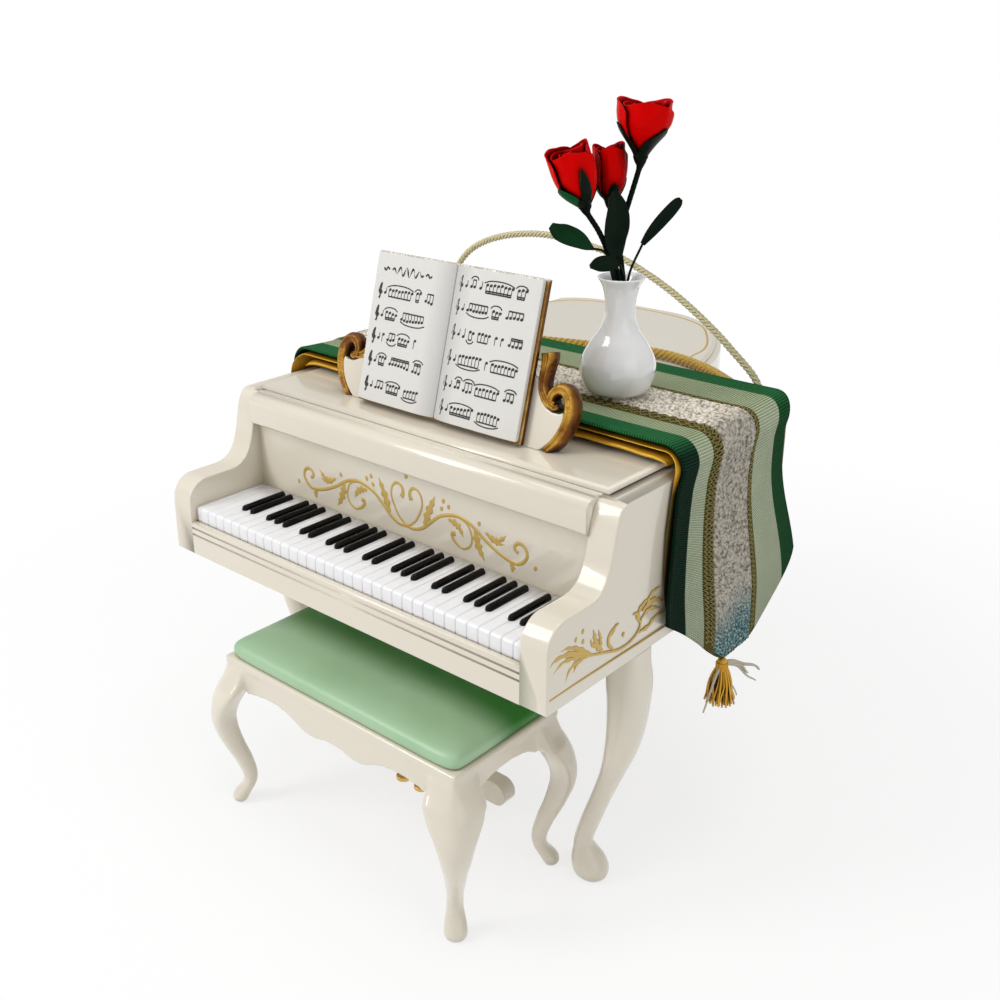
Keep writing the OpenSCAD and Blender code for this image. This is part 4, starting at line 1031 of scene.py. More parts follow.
def lace_yarn():
    """Grey-white looped yarn with dark gaps, painted lighter on the top, where it is lit, than on
    the ends, and a teal thread mixed in near its hem."""
    made, tree = material("lace_yarn", Roughness=0.85, Specular_IOR_Level=0.15)
    spot = put(tree, "UVMap", {})
    v, along = axis(tree, 0, spot), axis(tree, 1, spot)
    stretched = put(tree, "Mapping", {"Vector": spot, "Scale": (34.0, 100.0, 1.0)})
    loops = put(tree, "TexVoronoi", {"Vector": stretched, "Scale": 1.5}, feature="F1")
    grain = put(tree, "TexNoise", {"Vector": stretched, "Scale": 2.6, "Detail": 5.0})
    depth = maths(tree, "MULTIPLY_ADD", loops, -0.5, maths(tree, "ADD", grain, 0.2))
    yarn = ramp(
        tree, depth, (0.2, srgb(112, 104, 92)), (0.42, srgb(176, 169, 156)),
        (0.64, srgb(206, 202, 190)),
    )  # fmt: skip
    # Painted light: the yarn is lighter on the lid's top than on the hanging ends.
    past = maths(tree, "SUBTRACT", maths(tree, "ABSOLUTE", along), 0.385)
    lit_top = clamped(tree, maths(tree, "MULTIPLY_ADD", past, -1 / 0.03, 1.0))
    yarn = scaled(tree, yarn, maths(tree, "MULTIPLY_ADD", lit_top, 0.65, 1.0))
    teal = ramp(
        tree, grain, (0.36, srgb(26, 58, 62)), (0.52, srgb(96, 132, 134)),
        (0.66, srgb(192, 204, 200)),
    )  # fmt: skip
    near_hem = times(tree, maths(tree, "SUBTRACT", along, 0.668), 17.0)
    centre = maths(tree, "ABSOLUTE", maths(tree, "SUBTRACT", v, 0.55))
    share = maths(tree, "SUBTRACT", near_hem, times(tree, centre, 3.0))
    share = maths(tree, "MULTIPLY_ADD", grain, 1.6, maths(tree, "SUBTRACT", share, 0.9))
    return painted(made, blended(tree, clamped(tree, share), yarn, teal), depth, 0.5 * MM, 0.9)


lace_runs, shares = run_steps(260, 190)[2:-2], np.linspace(LACE_1, LACE_2, 60)
lace = cloth_band("runner_lace", lace_runs, shares, speckle, 0.0)
finished(lace, "piano", "runner_ribbon", lace_yarn())

# Gold thread couched in zigzags, each about a share of the width.
COUCHING = ((0.275, 0.014, 88), (0.31, 0.014, 96), (0.332, 0.008, 90), (0.66, 0.012, 92))
gold_lines = []
t = np.linspace(0.03, 2.97, 1150)
for v, reach, pitch in COUCHING:
    swing = np.abs(((t * pitch) % 2) - 1) * 2 - 1
    line = at(cloth_point(t, v + reach * swing, CLOTH_T / 2 + 0.14 + 0.06 * swing))
    gold_lines.append(tube(line, 0.09 * MM, (0.02, 1, 0.03), 5))
couched = surface("couched_thread", gold_lines)
gold_thread, _ = material(
    "gold_thread", Base_Color=srgb(138, 126, 78), Roughness=0.5, Metallic=0.3
)
finished(couched, "piano", "gold_cord", gold_thread)

r, v = np.meshgrid(runs, np.linspace(0, 1, 61), indexing="ij")
middle = cloth_point(r, v, 0.0) * MM
down, over = np.diff(middle, axis=0)[:, :-1], np.diff(middle, axis=1)[:-1]
across = np.linalg.norm(np.cross(down, over), axis=2)

# ---- Tassels ----
# A gold tassel sewn to the point of each end of the runner: a bound head over a skirt of
# threads, and a few pale strays from the lace.

TIP_V, THREADS, SKIRT_R, SKIRT_FALL = 0.415, 72, 2.55, 7.0
HEAD = smooth_path(
    [(0.1, 0.9), (0.65, 0.5), (0.85, 0.0), (0.8, -0.5), (1.0, -1.1), (0.95, -1.5)], 24
)
# Each stray leans out and back, falls, and has its own radius.
STRAYS = (
    (0.5, 8.5, 5.0, 0.34), (0.2, 13.0, 6.8, 0.36), (0.1, 5.5, 8.8, 0.2),
    (0.0, -4.8, 6.8, 0.24), (0.6, 11.0, 8.2, 0.26), (-0.2, 9.5, 5.8, 0.3),
)  # fmt: skip


def hoops(knot, rows, count):
    """Circles about the knot, of each row's radius and at its height."""
    a = circle(count)
    return [knot + np.column_stack([r * np.cos(a), r * np.sin(a), 0 * a + z]) for r, z in rows]


def tassel(sign):
    """Rings of one tassel: its head, its binding and its skirt, and its loose strays."""
    run = 3.0 if sign > 0 else 0.0
    knot = cloth_point(np.array(run), np.array(TIP_V), 0.0) + [0.35 * sign, 0, -0.6]
    binding, skirt, strays = [at(hoops(knot, HEAD, 20))], [], []
    closed = np.linspace(0, 2 * np.pi, 25)
    turn = 0.92 * np.column_stack([np.cos(closed), np.sin(closed), 0 * closed])
    for k in range(5):
        binding.append(tube(at(knot + turn - [0, 0, 0.15 + 0.2 * k]), 0.13 * MM, (0.02, 0.03, 1)))
    for k in range(THREADS):
        out = np.sqrt((k + 0.5) / THREADS)
        reach = SKIRT_R * out + dice.uniform(-0.25, 0.25)
        fall = SKIRT_FALL + dice.uniform(-0.7, 0.3) - 0.5 * out
        curl = dice.uniform(-0.35, 0.35, 3) * [1, 1, 0]
        t = np.linspace(0, 1, 14)[:, None]
        lean = np.array([np.cos(2.4 * k), np.sin(2.4 * k), 0])
        line = knot + lean * (0.75 * out + (reach - 0.75 * out) * t**0.8) - [0, 0, 0.9]
        line = line - np.array([0, 0, fall]) * t + curl * np.sin(np.pi * 1.5 * t)
        skirt.append(tube(at(line), np.linspace(0.2, 0.17, 14) * MM, (0.3, 1, 0.2), 5))
    for aside, behind, fall, wide in STRAYS:
        t = np.linspace(0, 1, 26)[:, None]
        line = knot - [0, 0, 0.4] + np.array([aside * sign, behind, 0]) * t**0.9
        line = line - np.array([0, 0, fall]) * t**1.25
        line = line + 0.3 * np.sin(9 * t + behind) * np.array([0.3, 0.4, 1]) * t
        strays.append(tube(at(line), wide * (1.15 - 0.6 * t) * MM, (0.9, 0.1, 0.3)))
    return skirt + binding, strays


tassel_gold = gilt("tassel_thread", srgb(226, 172, 44), srgb(120, 74, 8), 0.5, 0.2)
stray_yarn, _ = material("stray_yarn", Base_Color=srgb(186, 180, 162), Roughness=0.8)
for sign, node in ((1, "tassel_right"), (-1, "tassel_left")):
    bound, strays = tassel(sign)
    finished(surface(node + "_threads", bound), "piano", "gold_cord", tassel_gold, node)
    finished(surface(node + "_strays", strays), "piano", "gold_cord", stray_yarn)

# ---- Braid ----
# A thick twisted gold braid glued to the lid behind the runner, in one long bow.

BRAID_D, BRAID_LAY = 2.0, 3.6
BRAID_ROUTE = [
    (-31, 2.7), (-28, 3.7), (-21, 5.9), (-14, 8.1), (-7, 10.5), (0, 13.1),
    (6, 14.5), (11, 14.3), (16, 12.9), (21, 10.7), (26, 7.5), (30, 4.5), (34, 1.1),
]  # fmt: skip
braid_path = at([(x, RUNNER_REAR + y, LID_TOP + BRAID_D / 2) for x, y in BRAID_ROUTE])
braid = twisted("braid_twist", braid_path, BRAID_D * MM, 3, BRAID_LAY * MM, (0, 0, 1), sides=10)
braid_gold = thread("braid_gold", srgb(240, 204, 84), srgb(150, 108, 16), 14.0, 10.0, 0.35, 0.45)
finished(braid, "piano", "gold_cord", braid_gold, "braid")

# ---- Vase ----
# A glazed white bottle vase with a round body, a drawn neck and a flared lip.

VASE = np.array([20.6, 45.05, LID_TOP + LINING_T + CLOTH_T + 0.3])
VASE_H, WALL = 19.4, 0.7
# Radius and height up the outside.
outside = smooth_path(
    [(2.5, 0.0), (3.4, 0.12), (5.0, 1.0), (6.0, 2.9), (6.2, 4.7), (5.85, 6.4), (4.7, 8.6),
     (3.35, 10.6), (2.6, 12.6), (2.45, 14.4), (2.6, 16.2), (3.05, 18.0), (3.8, 19.3)], 90,
)  # fmt: skip
lip = [(3.78, 19.42), (3.6, 19.46), (3.42, 19.38)]
inside = [(r - WALL, z) for r, z in outside[::-1] if 1.9 < z < 19.2]
turned = np.vstack([[(0.05, 0.02)], outside, lip, inside, [(3.0, 1.3), (0.05, 1.2)]])
vase = surface("vase_glazed", [at(hoops(VASE, turned, 96))])
glaze, tree = material(
    "white_glaze", Base_Color=srgb(238, 238, 238), Roughness=0.08, Coat_Weight=1.0,
    Coat_Roughness=0.05,
)  # fmt: skip
painted(glaze, None, clouded(tree, 130.0, 0.06), 0.6 * MM, 0.3)
finished(vase, "vase", "vase_glaze", glaze, "vase")

# ---- Stems ----
# Wrapped wire stems that stand in the vase, each swelling into the cup under its bloom.

MOUTH, BOUQUET_TURN, FOOT = VASE + [0, 0, VASE_H], np.radians(42), 1.6 - VASE_H
# Foot, tip and radius of each bloom, and the route of its stem up to the foot.
ROSES = {
    "left": ([-6.3, -1.8, 11.35], [-9.6, -2.8, 20.6], 3.1),
    "middle": ([-2.0, 2.0, 11.7], [-2.4, 2.6, 20.5], 2.25),
    "right": ([2.1, 0.0, 18.1], [2.6, 0.0, 27.2], 3.7),
}
STEMS = {
    "left": [(-0.75, 0.2, FOOT), (-0.75, 0.2, -4), (-0.9, 0.1, -1.4), (-2.3, -0.6, 3.6),
             (-3.9, -1.3, 7.2)],
    "middle": [(0.7, 0.6, FOOT), (0.7, 0.6, -4), (0.5, 0.9, -1.4), (-0.5, 1.4, 5)],
    "right": [(0.2, 0.45, FOOT), (0.2, 0.45, -4), (-0.3, 0.5, -1.4), (-1.2, 0.6, 3),
              (-1, 0.5, 5), (-0.1, 0.2, 8.8), (0.9, 0, 12.6)],
}  # fmt: skip


def in_bouquet(points):
    """Points given across and behind the bouquet from the vase's mouth, placed over it."""
    x, y, z = np.moveaxis(np.asarray(points, float), -1, 0)
    c, s = np.cos(BOUQUET_TURN), np.sin(BOUQUET_TURN)
    return at(np.stack([x * c - y * s, x * s + y * c, z], -1) + MOUTH)


def bloom_axes(rose):
    """Foot, height and three axes of a bloom that stands from its foot to its tip."""
    foot, tip = np.array(ROSES[rose][0]), np.array(ROSES[rose][1])
    up = unit(tip - foot)
    side = unit(np.cross([0, 1, 0.0], up))
    return foot, float(np.linalg.norm(tip - foot)), side, np.cross(up, side), up


wires = []
for rose, route in STEMS.items():
    foot, _, _, _, up = bloom_axes(rose)
    ends = [foot + d * up for d in (-1.2, -0.3, 0.25, 0.75)]
    line = smooth_path(np.vstack([route, ends]), 90)
    run = np.linspace(0, 1, 90)
    to_cup = np.linalg.norm(line - ends[-1], axis=1)
    radius = 0.43 + 0.75 * ease(2.4 - to_cup, 0, 2.2) + 0.02 * np.sin(run * 300)
    wires.append(tube(in_bouquet(line), radius * MM, (0.1, 1, 0.05), 14))
stems = surface("rose_stems_wrapped", wires)


def leaf_green(name, light, dark, roughness, depth, lit=None, green=None):
    """Waxed green, nearly black: lighter on the raised parts, and painted greener, as if lit, on
    one side of lit, a distance across the bouquet."""
    made, tree = material(name, Roughness=roughness, Specular_IOR_Level=0.07)
    clouds = clouded(tree, 300.0, depth)
    paint = ramp(tree, clouds, (0.8, dark), (1.0, light))
    # Painted light: greener on the lit side of the bouquet.
    if lit is not None:
        across = in_bouquet([1.0, 0, 0]) - in_bouquet([0.0, 0, 0])
        along = {0: position(tree), 1: tuple(across / MM)}
        along = put(tree, "VectorMath", along, "Value", operation="DOT_PRODUCT")
        edge = float(in_bouquet([lit, 0, 0]) @ across) / MM
        share = between(tree, along, edge - 0.3 * MM, edge, 1.0, 0.0)
        shade = tuple(0.3 * c for c in green[:3]) + (1,)
        paint = blended(tree, share, paint, ramp(tree, clouds, (0.8, shade), (1.0, green)))
    return painted(made, paint, clouds, 0.15 * MM, 0.5)


stem_green = leaf_green("stem_green", srgb(6, 16, 9), srgb(2, 6, 4), 0.5, 0.4)
finished(stems, "bouquet", "stem_green", stem_green, "rose_stems")

# ---- Leaves ----
# Waxed cloth leaves on their own thin wires: broad blunt ovals with a fold down the middle.

TOWARDS, LEAF_T = (0.0, -1.0, 0.25), 0.22
# The wire, the leaf's middle with its half width at each point, and how far its edges lift.
LEAVES = (
    ([(-0.9, -0.75, FOOT), (-0.9, -0.75, -4), (-1.1, -0.9, -1), (-2.8, -2, 4.0), (-5.2, -2.4, 5.0)],
     [(-5.0, -2.4, 4.9, 0.25), (-6.0, -2.45, 5.5, 0.85), (-7.4, -2.5, 6.4, 1.35),
      (-9.0, -2.6, 7.1, 1.5), (-10.4, -2.7, 7.7, 1.3), (-11.6, -2.8, 8.6, 0.55)], 0.25),
    ([(-0.3, -0.9, FOOT), (-0.3, -0.9, -4), (-0.4, -1.2, 0), (-1.2, -2.2, 2.4)],
     [(-0.9, -2.0, 1.9, 0.3), (-1.7, -2.3, 2.4, 1.0), (-2.8, -2.5, 2.6, 1.25),
      (-4.2, -2.7, 2.5, 1.1), (-5.4, -2.8, 2.2, 0.3)], 0.2),
    ([(0.3, -0.9, FOOT), (0.3, -0.9, -4), (0.2, -1.1, 0), (-0.9, -1.3, 3.0)],
     [(-0.9, -1.25, 2.2, 0.5), (-1.3, -1.35, 4.2, 1.2), (-1.45, -1.4, 6.4, 1.7),
      (-1.25, -1.45, 8.6, 1.9), (-1.3, -1.4, 10.8, 1.6), (-1.7, -1.35, 12.6, 1.0),
      (-1.9, -1.3, 13.6, 0.35)], 0.3),
    ([(0.9, -0.7, FOOT), (0.9, -0.7, -4), (1.1, -0.8, 0.6), (3.2, -1, 6)],
     [(2.9, -0.95, 5.3, 0.4), (4.0, -1.05, 6.9, 0.75), (5.4, -1.15, 8.7, 0.95),
      (7.0, -1.25, 10.6, 0.95), (8.0, -1.28, 11.8, 0.75), (8.4, -1.3, 12.3, 0.35)], 0.35),
)  # fmt: skip


def two_sides(face, back):
    """Rings round a thin sheet of the bouquet: over its face and then over its back."""
    return in_bouquet(np.concatenate([face, back[:, ::-1]], 1))


def blade(route, lift, count=46, across=13):
    """Leaf along a route whose upper side looks along TOWARDS, folded up by lift at its
    edges: at a share s of the half width it rises by lift * |s|^1.4 of it, and ripples."""
    line = smooth_path(route, count)
    spine, half = line[:, :3], np.maximum(line[:, 3:], 0.12)
    along = unit(np.gradient(spine, axis=0))
    side = unit(np.cross(along, TOWARDS))
    out = np.cross(side, along)[:, None]
    s, run = np.linspace(-1, 1, across), np.linspace(0, 1, count)[:, None]
    rise = half * (lift * np.abs(s) ** 1.4 + 0.03 * np.sin(run * 30) * np.abs(s))
    flat = spine[:, None] + side[:, None] * (half * s)[..., None]
    return two_sides(*(flat + out * (rise + t)[..., None] for t in (LEAF_T / 2, -LEAF_T / 2)))


leaves, wires = [], []
for wire, route, lift in LEAVES:
    wires.append(tube(in_bouquet(smooth_path(wire, 60)), 0.2 * MM, (0.1, 1, 0.05), 8))
    leaves.append(blade(route, lift))
leafage = surface("rose_leaves_waxed", leaves + wires, ["slab"] * 4 + ["fan"] * 4)
waxed = leaf_green("waxed_leaf", srgb(8, 26, 14), srgb(1, 6, 3), 0.35, 0.5, -5.0, srgb(7, 52, 22))
finished(leafage, "bouquet", "stem_green", waxed, "rose_leaves")

# ---- Blooms ----
# Satin rosebuds: three broad outer petals that lap one another and fold out at their rims,
# two inner ones, and a rolled heart.

PETAL_T = 0.2
# Share of the height and share of the radius up each bloom.
CUPS = {
    "left": [(0, 0.08), (0.08, 0.3), (0.2, 0.6), (0.32, 0.8), (0.5, 0.95), (0.68, 1),
             (0.85, 0.97), (1, 0.86)],
    "middle": [(0, 0.1), (0.08, 0.42), (0.2, 0.68), (0.35, 0.86), (0.55, 0.98), (0.75, 1),
               (0.9, 0.97), (1, 0.88)],
    "right": [(0, 0.06), (0.1, 0.17), (0.25, 0.42), (0.4, 0.7), (0.5, 0.86), (0.62, 1),
              (0.8, 1.04), (1, 0.93)],
}  # fmt: skip
# The first petal's angle, and the rims and folds of the three outer petals.
PETALS = (
    ("left", -1.75, (0.95, 0.97, 1.0), (0.5, 0.9, 1.0)),
    ("middle", -1.5, (0.93, 1.0, 0.98), (0.5, 0.7, 0.7)),
    ("right", -1.65, (0.95, 1.0, 1.0), (0.5, 1.0, 1.0)),
)


def cup_radius(rose, v):
    """Radius of a bloom's outside at a share of its height."""
    line = smooth_path(CUPS[rose], 80)
    return ROSES[rose][2] * np.interp(v, line[:, 0], line[:, 1])


def round_bloom(rose, angle, tall, outer, inner):
    """Rings round a sheet about a bloom's axis, at an angle and a share of its height, between
    an outer and an inner radius."""
    foot, height, side, back, up = bloom_axes(rose)
    spot = np.cos(angle)[..., None] * side + np.sin(angle)[..., None] * back
    axle = foot + (tall * height)[..., None] * up
    return two_sides(*(axle + r[..., None] * spot for r in (outer, inner)))


def petal(rose, turn, span, scale, top, fold, tuck, rows=30, cols=49):
    """Grid round one petal: u goes across it and v up it. It follows the cup at scale times
    its radius, its rim falls off to both sides and waves, and it curls out by fold."""
    u, v = np.meshgrid(np.linspace(-1, 1, cols), np.linspace(0, 1, rows))
    angle = turn + span / 2 * u * (0.72 + 0.28 * np.sin(np.pi * v * 0.5))
    rim = top * (1 - 0.2 * np.abs(u) ** 2.3 + 0.012 * np.sin(8 * u + 3 * turn))
    tall = 0.055 + (rim - 0.055) * v
    r = cup_radius(rose, tall) * scale + 0.34 * tuck * u + 0.12
    r = r + fold * v**9 * (1.1 - 0.7 * np.abs(u)) * ROSES[rose][2] / 7
    r = r + 0.13 * np.sin(7 * u + 5 * turn) * v**4 + 0.05 * np.sin(17 * u + turn) * v**2
    tall = tall - 0.03 * fold * v**8
    return round_bloom(rose, angle, tall, r + PETAL_T / 2, r - PETAL_T / 2)


def rolled_heart(rose, turns, scale, top, phase, rows=16, cols=120):
    """Grid round a strip rolled into a spiral, its rim waving up and down."""
    t, v = np.meshgrid(np.linspace(0, 1, cols), np.linspace(0, 1, rows))
    angle = phase + 2 * np.pi * turns * t
    tall = 0.1 + (top * (1 - 0.05 * (1 - t) + 0.02 * np.sin(5 * angle)) - 0.1) * v
    r = cup_radius(rose, tall) * scale * (0.16 + 0.84 * t)
    outer, inner = (np.maximum(r + half, 0.04) for half in (PETAL_T / 2, -PETAL_T / 2))
    return round_bloom(rose, angle, tall, outer, inner)


def rose_red():
    """Satin red, with painted shade: nearly crimson in the depths and between the petals."""
    made, tree = material("satin_red", Roughness=0.4, Specular_IOR_Level=0.03)
    clouds = clouded(tree, 220.0, 0.5)
    # Painted shade: darker in the depths and between the petals, by ambient occlusion.
    depth = times(tree, hollow(tree, 3 * MM, 10), clouds)
    reds = (0.25, srgb(58, 0, 0)), (0.6, srgb(146, 0, 0)), (0.95, srgb(212, 1, 0))
    return painted(made, ramp(tree, depth, *reds), clouds, 0.5 * MM, 0.5)


red = rose_red()
for rose, first, tops, folds in PETALS:
    petals = []
    for k in range(3):
        turn = first + 2 * np.pi / 3 * k
        petals.append(petal(rose, turn, 2.75, 1.0, tops[k], folds[k], 1.0))
    for k in range(2):
        turn = first + 1.0 + np.pi * k
        petals.append(petal(rose, turn, 3.3, 0.78, 0.97 - 0.06 * k, 0.2, 0.8))
    petals.append(rolled_heart(rose, 2.2, 0.58, 0.88, first))
    bloom = surface(f"rose_{rose}_petals", petals, "slab")
    finished(bloom, "bouquet", "rose_red", red, f"rose_{rose}")

# ---- Sepals ----
# Broad dark sepals that clasp each bloom from the cup at the top of its stem.

FACING, SEPAL_T, SEPAL_GAP = -np.pi / 2, 0.26, 0.56
# Each sepal's angle from the side that faces the front, its reach and its half width.
SEPALS = {
    "left": ((-1.0, 0.45, 1.8), (0.25, 0.68, 0.85), (2.2, 0.4, 1.5), (-2.7, 0.4, 1.5)),
    "middle": ((0.2, 0.3, 0.9), (1.9, 0.36, 0.9), (3.4, 0.36, 0.9), (-1.4, 0.36, 0.9)),
    "right": ((-1.25, 0.6, 1.0), (0.85, 0.54, 2.0), (2.6, 0.5, 1.4), (-2.6, 0.5, 1.4)),
}


def sepal(rose, turn, reach, half, rows=26, cols=11):
    """Grid round one sepal: it lies on the bloom's outside up to a share of its height."""
    v, s = np.meshgrid(np.linspace(0, 1, rows), np.linspace(-1, 1, cols), indexing="ij")
    tall = 0.01 + (reach - 0.01) * v
    r = cup_radius(rose, tall) + SEPAL_GAP + 0.25 * v**4
    wide = half * (0.42 + 0.58 * np.sin(np.pi * np.clip(v * 0.8 + 0.14, 0, 1))) * (1 - v**6)
    angle = FACING + turn + s * np.maximum(wide, 0.12) / np.maximum(r, 0.8)
    return round_bloom(rose, angle, tall, r + SEPAL_T / 2, r - SEPAL_T / 2)


clasps = [sepal(rose, *one) for rose, some in SEPALS.items() for one in some]
sepals = surface("rose_sepals_clasping", clasps, "slab")
clasping = leaf_green(
    "waxed_sepal", srgb(8, 22, 12), srgb(1, 5, 3), 0.35, 0.5, -7.45, srgb(10, 84, 42)
)
finished(sepals, "bouquet", "stem_green", clasping, "rose_sepals")

# ---- Bench ----
# One ivory casting: a seat board, four shaped aprons and four cabriole legs that flow into them.

BENCH = np.array([0.0, 10.0, 30.4])
BOARD_T, BENCH_W, BENCH_D, POST = 1.3, 54.6, 25.2, 2.5
# Share of the height, offset outwards, half width and power of the section up a leg.
BENCH_LEG_ROWS = np.array(
    [
        (0, 2.9, 1.2, 2), (0.03, 2.9, 1.6, 2), (0.07, 2.3, 1.6, 2), (0.11, 1.4, 1.4, 2),
        (0.16, 0.85, 1.3, 2), (0.22, 1.0, 1.45, 2), (0.32, 2.0, 1.7, 2), (0.42, 3.3, 1.9, 2),
        (0.54, 4.45, 2.1, 2.1), (0.63, 4.7, 2.2, 2.3), (0.73, 4.0, 2.4, 2.8),
        (0.83, 2.5, 2.6, 4), (0.91, 1.0, 2.6, 6), (1, 0, 2.5, 9),
    ]
)  # fmt: skip
BENCH_KNEE = (
    (0, 1.2), (0.1, 1.2), (0.25, 0.9), (0.45, 0.98), (0.61, 1.24), (0.76, 1.56), (0.85, 1.6),
    (0.92, 1.3), (1, 1),
)  # fmt: skip
bench_legs = []
for x in (-1, 1):
    for y in (-1, 1):
        foot = (x * (BENCH_W / 2 - POST - 0.1), BENCH[1] + y * (BENCH_D / 2 - POST - 0.1))
        out = np.array([x, y]) / np.sqrt(2)
        shape = (BENCH_LEG_ROWS, BENCH[2] - BOARD_T, 1.0, 36, 80)
        bench_legs.append(leg("bench_leg", foot, out, *shape, widen=BENCH_KNEE))
# The end aprons are a fifth shallower than in the CAD, and the long ones are shallower beside
# the legs: there, what lies below LIP_AT is LIP_SHARE as deep.
END_T, END_SHARE, LIP_AT, LIP_FROM, LIP_SHARE = 2.5, 0.8, -5.1, 14.5, 0.4
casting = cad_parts["bench_frame"].data.copy()
corners = np.zeros(len(casting.vertices) * 3)
casting.vertices.foreach_get("co", corners)
corners = corners.reshape(-1, 3)
below, aside = corners[:, 2] / MM - BENCH[2], np.abs(corners[:, 0])
ends = (below < -BOARD_T - 0.1) & (aside > (BENCH_W / 2 - END_T) * MM)
lip = (below < LIP_AT) & (aside > LIP_FROM * MM) & ~ends
below = np.where(lip, LIP_AT + (below - LIP_AT) * LIP_SHARE, below * np.where(ends, END_SHARE, 1))
corners[:, 2] = (below + BENCH[2]) * MM
casting.vertices.foreach_set("co", corners.ravel())
solid = placed("bench_casting", casting)
with bpy.context.temp_override(
    active_object=solid, object=solid, selected_editable_objects=[solid, *bench_legs]
):
    bpy.ops.object.join()
grown = solid.modifiers.new("cast", "REMESH")
grown.mode, grown.voxel_size = "VOXEL", 0.34 * MM
grown.use_smooth_shade = True
flow = solid.modifiers.new("flow", "SMOOTH")
flow.factor, flow.iterations = 0.5, 9
finished(
    solid, "bench", "case_ivory", ivory, "bench_frame",
    *(f"bench_leg_{a}_{b}" for a in ("front", "rear") for b in ("left", "right")),
)  # fmt: skip

# ---- Seat ----
# A moulded cushion in pale green: straight sides, a round edge and a low crown.

SEAT_HALF = (BENCH_W / 2 - 0.6, BENCH_D / 2 - 0.5)
# How far the cushion draws in, and its height there.
seat_rows = smooth_path(
    [(1.2, 0.02), (0.3, 0.1), (0.05, 0.6), (0.0, 1.3), (0.18, 1.95), (0.7, 2.45), (1.7, 2.85),
     (3.2, 3.2), (5.2, 3.55), (8.2, 3.95), (11.0, 4.15)], 60,
)  # fmt: skip
a, rings = circle(160), []
for shrink, rise in seat_rows:
    power = 2 / 17 + max(shrink - 1, 0) * 0.035
    x, y = power_of(np.cos(a), power), power_of(np.sin(a), power)
    flat = [(SEAT_HALF[0] - shrink) * x, (SEAT_HALF[1] - shrink) * y, 0 * a + rise]
    rings.append(BENCH + np.column_stack(flat))
seat = surface("bench_cushion", [at(rings)])


def seat_green():
    """Painted pale green with a soft gloss, and painted keyboard shade, deeper green, at the back.
    """
    made, tree = material("seat_green", Roughness=0.42, Coat_Weight=0.2, Coat_Roughness=0.2)
    clouds = clouded(tree, 90.0, 0.3)
    paint = ramp(tree, clouds, (0.85, srgb(142, 180, 138)), (1.0, srgb(162, 196, 158)))
    # Painted shade of the keyboard: deeper green towards the back.
    back = axis(tree, 1, position(tree))
    near = between(tree, back, FRONT + 5 * MM, FRONT + 13 * MM, how="SMOOTHSTEP")
    return painted(made, blended(tree, near, paint, srgb(18, 112, 12)), clouds, 0.8 * MM, 0.4)


finished(seat, "bench", "seat_green", seat_green(), "bench_seat")

# ---- Gold scrollwork ----
# Common scrollwork printed in thin raised gold: a spray on the fallboard that mirrors about a
# heart, a spray and a line on each side of the case, and a line round the tail of the lid.

FALL_FRONT, PRINT_H, ARM_EDGE = 16.4, 0.09, 0.8
HALF_SPRAY = [
    ([(-0.6, 56.9), (0.9, 56.6), (2.3, 56.8), (3.9, 57.6), (5.5, 59.0), (7.2, 60.4), (9.0, 61.2),
      (10.9, 61.6), (12.4, 61.5), (13.8, 61.1), (15.3, 60.3), (16.7, 59.4), (18.2, 58.6),
      (19.8, 57.9), (21.4, 57.4), (22.6, 57.2), (23.7, 57.3), (24.7, 58.0), (25.3, 59.0),
      (25.1, 60.1), (24.3, 60.7), (23.5, 60.7), (22.9, 60.1), (23.0, 59.4), (23.6, 59.2)],
     0.62, "even"),
    ([(0.2, 56.7), (1.9, 58.1), (3.0, 59.9), (3.5, 61.4), (3.3, 62.8), (2.5, 63.7), (1.6, 63.8),
      (0.9, 63.2), (0.8, 62.3), (1.1, 61.6)], 0.5, "blob"),
    ([(11.5, 61.6), (13.0, 61.0), (13.8, 60.1), (14.2, 58.8), (14.0, 57.5), (13.2, 56.7),
      (12.1, 56.4), (10.9, 56.9), (10.1, 57.7), (10.1, 58.4), (10.7, 58.5)], 0.5, "blob"),
    ([(3.9, 57.8), (4.5, 59.5), (5.3, 61.4), (6.4, 63.7)], 1.25, "leaf"),
    ([(9.2, 60.6), (10.7, 60.3), (11.7, 59.6), (12.4, 58.4)], 1.1, "leaf"),
    ([(15.0, 60.6), (15.2, 58.9), (15.8, 57.3), (16.8, 55.7)], 1.3, "leaf"),
    ([(17.0, 60.6), (18.6, 59.9), (19.9, 60.1), (21.2, 61.3)], 0.9, "leaf"),
    ([(17.5, 60.1), (19.2, 59.5), (20.9, 59.7)], 0.7, "leaf"),
    ([(22.0, 57.2), (22.5, 56.4), (22.3, 55.5)], 0.9, "leaf"),
]  # fmt: skip
SPRAY_DOTS = [(7.8, 62.0), (8.2, 63.4), (9.3, 62.7), (15.7, 61.7), (26.9, 57.6)]
